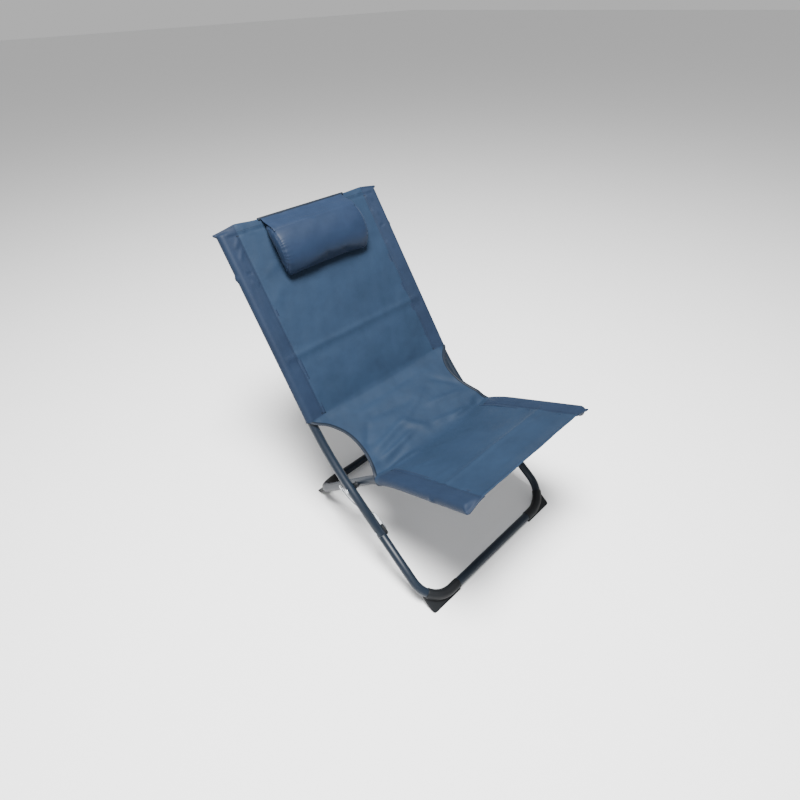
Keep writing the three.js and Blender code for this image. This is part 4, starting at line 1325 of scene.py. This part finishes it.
def binding(side, sign):
    """Tape along one cut-out: round the open end of the back sleeve, along the cut edge, and round
    the open end of the seat sleeve. Its section is folded over the edge, which it covers by 8 mm."""
    column, step = (-1, -3) if sign > 0 else (0, 2)
    back_cloud, seat_cloud = rear_parts[(side, "back")][0], rear_parts[(side, "seat")][0]
    hip = np.arange(back_rows[-1], seat_rows[0] + 1)
    edge = [back_cloud[-1, :0:-1], front_cloud[hip, column], seat_cloud[0, 1:]]
    beside = [back_cloud[-3, :0:-1], front_cloud[hip, step], seat_cloud[2, 1:]]
    points = smooth_line(np.concatenate(edge), 2)
    inside = smooth_line(unit(np.concatenate(beside) - np.concatenate(edge)), 4)
    run = running_length(points)
    heading = unit(np.gradient(points, run, axis=0))
    outward = -unit(inside - (inside * heading).sum(1)[:, None] * heading)
    above = np.cross(heading, outward) * sign * -1.0
    section = np.array([(-80, 1), (-77, 8), (-40, 10), (0, 10), (12, 4), (17, -6), (12, -16),
                        (0, -20), (-40, -20), (-77, -19), (-80, -12)]) * 1e-4
    wave = 1 + 0.05 * np.sin(run * 420)[:, None, None]
    cloud = (points[:, None] + section[None, :, :1] * outward[:, None]
             + section[None, :, 1:] * above[:, None] * wave)
    quads, corners = grid_quads(len(points), len(section), wrap_columns=True)
    uv = np.stack([run[corners[..., 0]], corners[..., 1] * 0.0016], axis=-1)
    piece = make_piece(f"hip_binding_{side}", cloud, quads, uv, BINDING)
    with opened(piece) as shell:
        bmesh.ops.holes_fill(shell, edges=[e for e in shell.edges if e.is_boundary], sides=16)
        bmesh.ops.recalc_face_normals(shell, faces=shell.faces)
    stitch_line = points - 0.0062 * outward + 0.0010 * above
    row = sewing(f"hip_binding_sewing_{side}", [(stitch_line, above)], 0.003, 0.00036)
    for part in (piece, row):
        follow_sling(part)
    print(piece.name, "length", round(float(run[-1]), 3))
    return piece


bindings = [binding(side, sign) for side, sign in SIDES]

follow_sling(sling)
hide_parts("back_panel", "seat_panel", "hip_panel", "back_sleeve_left", "back_sleeve_right",
            "seat_sleeve_left", "seat_sleeve_right")

# %% [markdown]
# ## The head pillow
# The pillow is a stuffed bolster with a flat back. A slightly small bolster is built from its side
# outline, remeshed to even quads, and blown up as cloth under pressure, so that its skin crowns and
# pulls in at the sewn ends as stuffing does. How far a point may move is capped, so the pillow keeps
# its side outline, and its back is kept flat against the sling.

# %% Bolster
PILLOW_HALF, PILLOW_SEAM_X = 0.155, 0.1455
MIDDLE_S, MIDDLE_N = 0.566, 0.034
pillow_middle = back_bend + MIDDLE_S * back_up + MIDDLE_N * back_normal
# The pillow's side outline: distances up the back line, and heights off it.
outline_s = np.array([0.488, 0.520, 0.566, 0.612, 0.645, 0.655, 0.652, 0.640, 0.618, 0.592, 0.566,
                      0.538, 0.516, 0.500, 0.487, 0.480, 0.482])
outline_n = np.array([0.0130, 0.0128, 0.0128, 0.0128, 0.0130, 0.0175, 0.0290, 0.0430, 0.0560, 0.0640,
                      0.0665, 0.0630, 0.0545, 0.0430, 0.0300, 0.0210, 0.0160])


def closed_curve(values, count):
    """A smooth closed curve through points: the values repeat on both sides, and cubic pieces join
    them."""
    n = len(values)
    knots = np.arange(-3, n + 4)
    return through(knots, values[knots % n], np.linspace(0, n, count, endpoint=False))


def on_back_line(x, distance, lift):
    """3-D points from x, distance up the back and height off it."""
    profile = back_bend + distance[..., None] * back_up + lift[..., None] * back_normal
    return np.concatenate([np.broadcast_to(x, distance.shape)[..., None], profile], axis=-1)


def bolster(name, shrink):
    """A closed skin: the outline at stations along X, drawn in towards its middle near both ends."""
    sides = 72
    ring_s, ring_n = closed_curve(outline_s, sides), closed_curve(outline_n, sides)
    end_share, end_size = [1, 1, 1, 0.995, 0.975, 0.93], [0.02, 0.35, 0.70, 0.86, 0.945, 0.985]
    share = np.array([*(-v for v in end_share), *np.linspace(-0.86, 0.86, 44), *end_share[::-1]])
    size = np.array([*end_size, *np.ones(44), *end_size[::-1]]) * (1 - shrink / 0.05)
    s = MIDDLE_S + (ring_s - MIDDLE_S)[None, :] * size[:, None]
    n = MIDDLE_N + (ring_n - MIDDLE_N)[None, :] * size[:, None]
    cloud = on_back_line((share * (PILLOW_HALF - shrink))[:, None], s, n)
    quads, _ = grid_quads(len(share), sides, wrap_columns=True)
    last = (len(share) - 1) * sides
    faces = quads.tolist() + [list(range(sides - 1, -1, -1)), list(range(last, last + sides))]
    return tidy_shell(make_piece(name, cloud, faces))


def on_back_frame(cloud):
    """Splits 3-D points into x, distance up the back, and height off it."""
    away = cloud[:, 1:] - back_bend
    return cloud[:, 0], away @ back_up, away @ back_normal


pillow = bolster("head_pillow_cover", 0.004)
fused(pillow, 0.005)
apply_modifiers(pillow)
at_start = vertices_of(pillow)
cloth = pillow.modifiers.new("stuffing", "CLOTH")
cloth.settings.use_pressure = True
cloth.settings.uniform_pressure_force = 4.0
cloth.settings.effector_weights.gravity = 0.0
cloth.settings.quality = 6
cloth.settings.tension_stiffness = 12
cloth.settings.compression_stiffness = 12
scene = bpy.context.scene
for step in range(1, 21):
    scene.frame_set(step)
apply_modifiers(pillow)
scene.frame_set(1)
move = vertices_of(pillow) - at_start
size = np.linalg.norm(move, axis=1)[:, None] + 1e-12
cap = 0.0075
x, s, n = on_back_frame(at_start + move / size * cap * np.tanh(size / cap))
set_vertices(pillow, on_back_line(x, s, np.maximum(n, 0.0128)))
print("pillow swelled by up to", round(float(size.max()), 4), "faces", len(pillow.data.polygons))

# %% Pillow surface
evened(pillow, 6)
fine = pillow.modifiers.new("finer", "SUBSURF")
fine.levels = fine.render_levels = 1
apply_modifiers(pillow)
cloud, normals = vertices_of(pillow), vertices_of(pillow, "normal")
x, s, n = on_back_frame(cloud)
seam_gap = np.abs(x) - PILLOW_SEAM_X
turn = np.arctan2(n - MIDDLE_N, s - MIDDLE_S)
near_seam = np.exp(-np.abs(seam_gap) / 0.009) * (n > 0.016)
gathers = 0.0006 * np.sin(turn * 23 + 2.2 * np.sin(turn * 5)) * near_seam
groove = -0.0016 * bell(seam_gap, 0.0, 0.0032)
slack = 0.0005 * np.sin(x * 31 + s * 25) * np.sin(s * 60 + 0.6) + 0.0002 * np.sin(x * 74 - s * 90 + 1.0)
cloud += normals * ((gathers + groove + slack * smoothstep((n - 0.014) / 0.01))[:, None])
x, s, n = on_back_frame(cloud)
set_vertices(pillow, on_back_line(x, s, np.maximum(n, 0.0127)))
clad(pillow, PILLOW)
stand_in(pillow, "pillow", "pillow_cloth", "head_pillow")

# %% Piped end seams
skin = BVHTree.FromObject(pillow, bpy.context.evaluated_depsgraph_get())


def ray(start, direction):
    """Where a ray from start meets the pillow's skin, or None."""
    return skin.ray_cast(Vector(start), Vector(at_x(0, direction)))[0]


def seam_ring(x):
    """Points round the pillow at one x: rays from its middle line out to its skin."""
    angles = np.linspace(0, 2 * math.pi, 96, endpoint=False)
    return np.array([ray(at_x(x, pillow_middle), math.cos(a) * back_up + math.sin(a) * back_normal)
                     for a in angles])


def cord_ring(name, points, radius, material):
    """A closed cord: a circle carried round a closed line of points."""
    heading = unit(np.roll(points, -1, axis=0) - np.roll(points, 1, axis=0))
    level = np.tile([1.0, 0.0, 0.0], (len(points), 1))
    around = np.linspace(0, 2 * math.pi, 10, endpoint=False)[None, :, None]
    ring = np.cos(around) * level[:, None] + np.sin(around) * np.cross(heading, level)[:, None]
    cloud = points[:, None] + radius * ring
    quads, corners = grid_quads(len(points), 10, wrap_rows=True, wrap_columns=True)
    uv = np.stack([corners[..., 1] * 0.0009, corners[..., 0] * 0.004], axis=-1)
    return tidy_shell(make_piece(name, cloud, quads, uv, material))


for side, sign in SIDES:
    ring = seam_ring(sign * PILLOW_SEAM_X)
    ring = 0.25 * np.roll(ring, 1, axis=0) + 0.5 * ring + 0.25 * np.roll(ring, -1, axis=0)
    piping = cord_ring(f"pillow_piping_{side}", ring, 0.0013, PILLOW)
    stand_in(piping, "pillow", "pillow_cloth")

# %% Hanging flap
FLAP_HALF, FLAP_COLUMNS, FLAP_ROWS = 0.143, 90, 24
flap_x = np.linspace(-FLAP_HALF, FLAP_HALF, FLAP_COLUMNS)
flap_steps = np.linspace(0, 1, FLAP_ROWS)


def pillow_height(x, s):
    """Height of the pillow's skin off the back's line, found by a ray that comes down on to it."""
    start = at_x(x, back_bend + s * back_up + 0.12 * back_normal)
    hit = ray(start, -back_normal)
    return 0.120 - float(np.linalg.norm(np.array(hit) - start)) if hit is not None else 0.014


def back_sheet(name, x, distance, lift, row_length, material):
    """A sheet over the back: x for each column, and a distance up the back and a height off it for
    each point. Its pattern is x, and the row's number times the row's length."""
    cloud = on_back_line(x, distance + 0 * x, lift + 0 * x)
    quads, corners = grid_quads(*cloud.shape[:2])
    uv = np.stack([x[corners[..., 1]], corners[..., 0] * row_length], axis=-1)
    return make_piece(name, cloud, quads, uv, material)


rest_at = np.array([0.614, 0.619, 0.624, 0.628, 0.632])
resting = np.array([[pillow_height(x, s) for x in np.clip(flap_x, -0.130, 0.130)] for s in rest_at])
knots_s = np.array([*rest_at, 0.642, 0.652, 0.660, 0.6655, 0.6680])
free = np.array([0.0330, 0.0250, 0.0180, 0.0146, 0.0126])
sink = np.array([-0.0016, 0.0002, 0.0008, 0.0010, 0.0012])
knots_n = np.concatenate([resting + sink[:, None], np.tile(free[:, None], FLAP_COLUMNS)])
knots_n[5] = 0.55 * knots_n[4] + 0.45 * knots_n[6]
knots = np.linspace(0, 1, len(knots_s))
path_s = through(knots, knots_s, flap_steps)[:, None]
path_n = np.stack([through(knots, column, flap_steps) for column in knots_n.T], axis=1)
loose = np.sin(np.clip((flap_steps - 0.42) / 0.56, 0, 1) * math.pi)[:, None]
drift = np.linspace(0, 2.6, FLAP_ROWS)[:, None]
ripple = (0.0010 * np.sin(flap_x * 62 + 0.8 + drift) + 0.0007 * np.sin(flap_x * 133 - 1.6 * drift)
          + 0.0030 * bell(flap_x + 0.030 * drift / 2.6, -0.112, 0.010)
          + 0.0022 * bell(flap_x - 0.034 * drift / 2.6, 0.096, 0.012))
flap = back_sheet("pillow_flap_cloth", flap_x, path_s, path_n + loose * ripple, 0.0020, PILLOW)
thicken(flap, 0.0009)
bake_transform(flap)
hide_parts("pillow_flap")

# %% Tape over the top hem, which the flap hangs from
tape_s = np.array([0.6650, 0.6698, 0.6718, 0.6718, 0.6700, 0.6560])
tape_n = np.array([0.0130, 0.0130, 0.0118, 0.0092, 0.0084, 0.0082])
tape_steps = np.linspace(0, 5, 14)
tape_s, tape_n = (through(np.arange(6), v, tape_steps)[:, None] for v in (tape_s, tape_n))
tape = back_sheet("top_hem_tape", np.linspace(-0.150, 0.150, 60), tape_s, tape_n, 0.001, BINDING)
thicken(tape, 0.0006, 1.0)
stand_in(tape, "back_frame", "sling_cloth")
print("flap and tape faces", len(flap.data.polygons), len(tape.data.polygons))

# %% [markdown]
# ## Floor, light and camera
# A pale floor that runs on past the view, one large soft light above and to the front left, a
# weaker one from the right, and an even pale sky. The camera stands in front of the chair, to its
# left and above it.

# %% Floor
FLOOR_REACH, FLOOR_Z = 30, -0.0002
floor_paint, _, floor_shader, _ = start_material("pale floor", 0.9)
floor_shader.inputs["Base Color"].default_value = (0.86, 0.86, 0.86, 1.0)
floor_corners = np.array([(-1, -1, 0), (1, -1, 0), (1, 1, 0), (-1, 1, 0)]) * FLOOR_REACH
floor = make_piece("floor", floor_corners + [0, 0, FLOOR_Z], [(0, 1, 2, 3)], None, floor_paint)

# %% Light
world = bpy.data.worlds.new("studio")
bpy.context.scene.world = world
world.use_nodes = True
sky = world.node_tree.nodes["Background"]
sky.inputs["Color"].default_value = (1.0, 1.0, 1.0, 1.0)
sky.inputs["Strength"].default_value = 0.55


def soft_light(name, place, aim, size, power):
    """A square area light at place that faces aim."""
    lamp = bpy.data.lights.new(name, "AREA")
    lamp.shape = "SQUARE"
    lamp.size = size
    lamp.energy = power
    holder = bpy.data.objects.new(name, lamp)
    holder.location = place
    holder.rotation_mode = "QUATERNION"
    holder.rotation_quaternion = (Vector(aim) - Vector(place)).to_track_quat("-Z", "Y")
    bpy.context.scene.collection.objects.link(holder)


soft_light("key", (-0.6, -0.55, 3.3), (0, 0, 0.4), 1.1, 430)
soft_light("fill", (-2.8, -2.2, 1.9), (0, 0, 0.4), 1.5, 28)

# %% Camera


def turn_about(axis, angle):
    """The turn by an angle in radians about one axis, as a 3 by 3 array."""
    return np.array(Matrix.Rotation(angle, 3, axis))


facing = turn_about("Z", -0.7371) @ turn_about("X", -0.5862) @ turn_about("Y", 0.0391)
camera_data = bpy.data.cameras.new("camera")
camera_data.sensor_width = 36.0
camera_data.lens = 24.586
camera_data.shift_x = 0.00577
camera_data.shift_y = -0.06318
camera_data.clip_start = 0.01
camera = bpy.data.objects.new("camera", camera_data)
pose = np.eye(4)
pose[:3, 0], pose[:3, 1], pose[:3, 2] = facing[:, 0], facing[:, 2], -facing[:, 1]
pose[:3, 3] = (-0.8605, -0.90802, 1.3742)
camera.matrix_world = Matrix(pose.tolist())
bpy.context.scene.collection.objects.link(camera)
bpy.context.scene.camera = camera
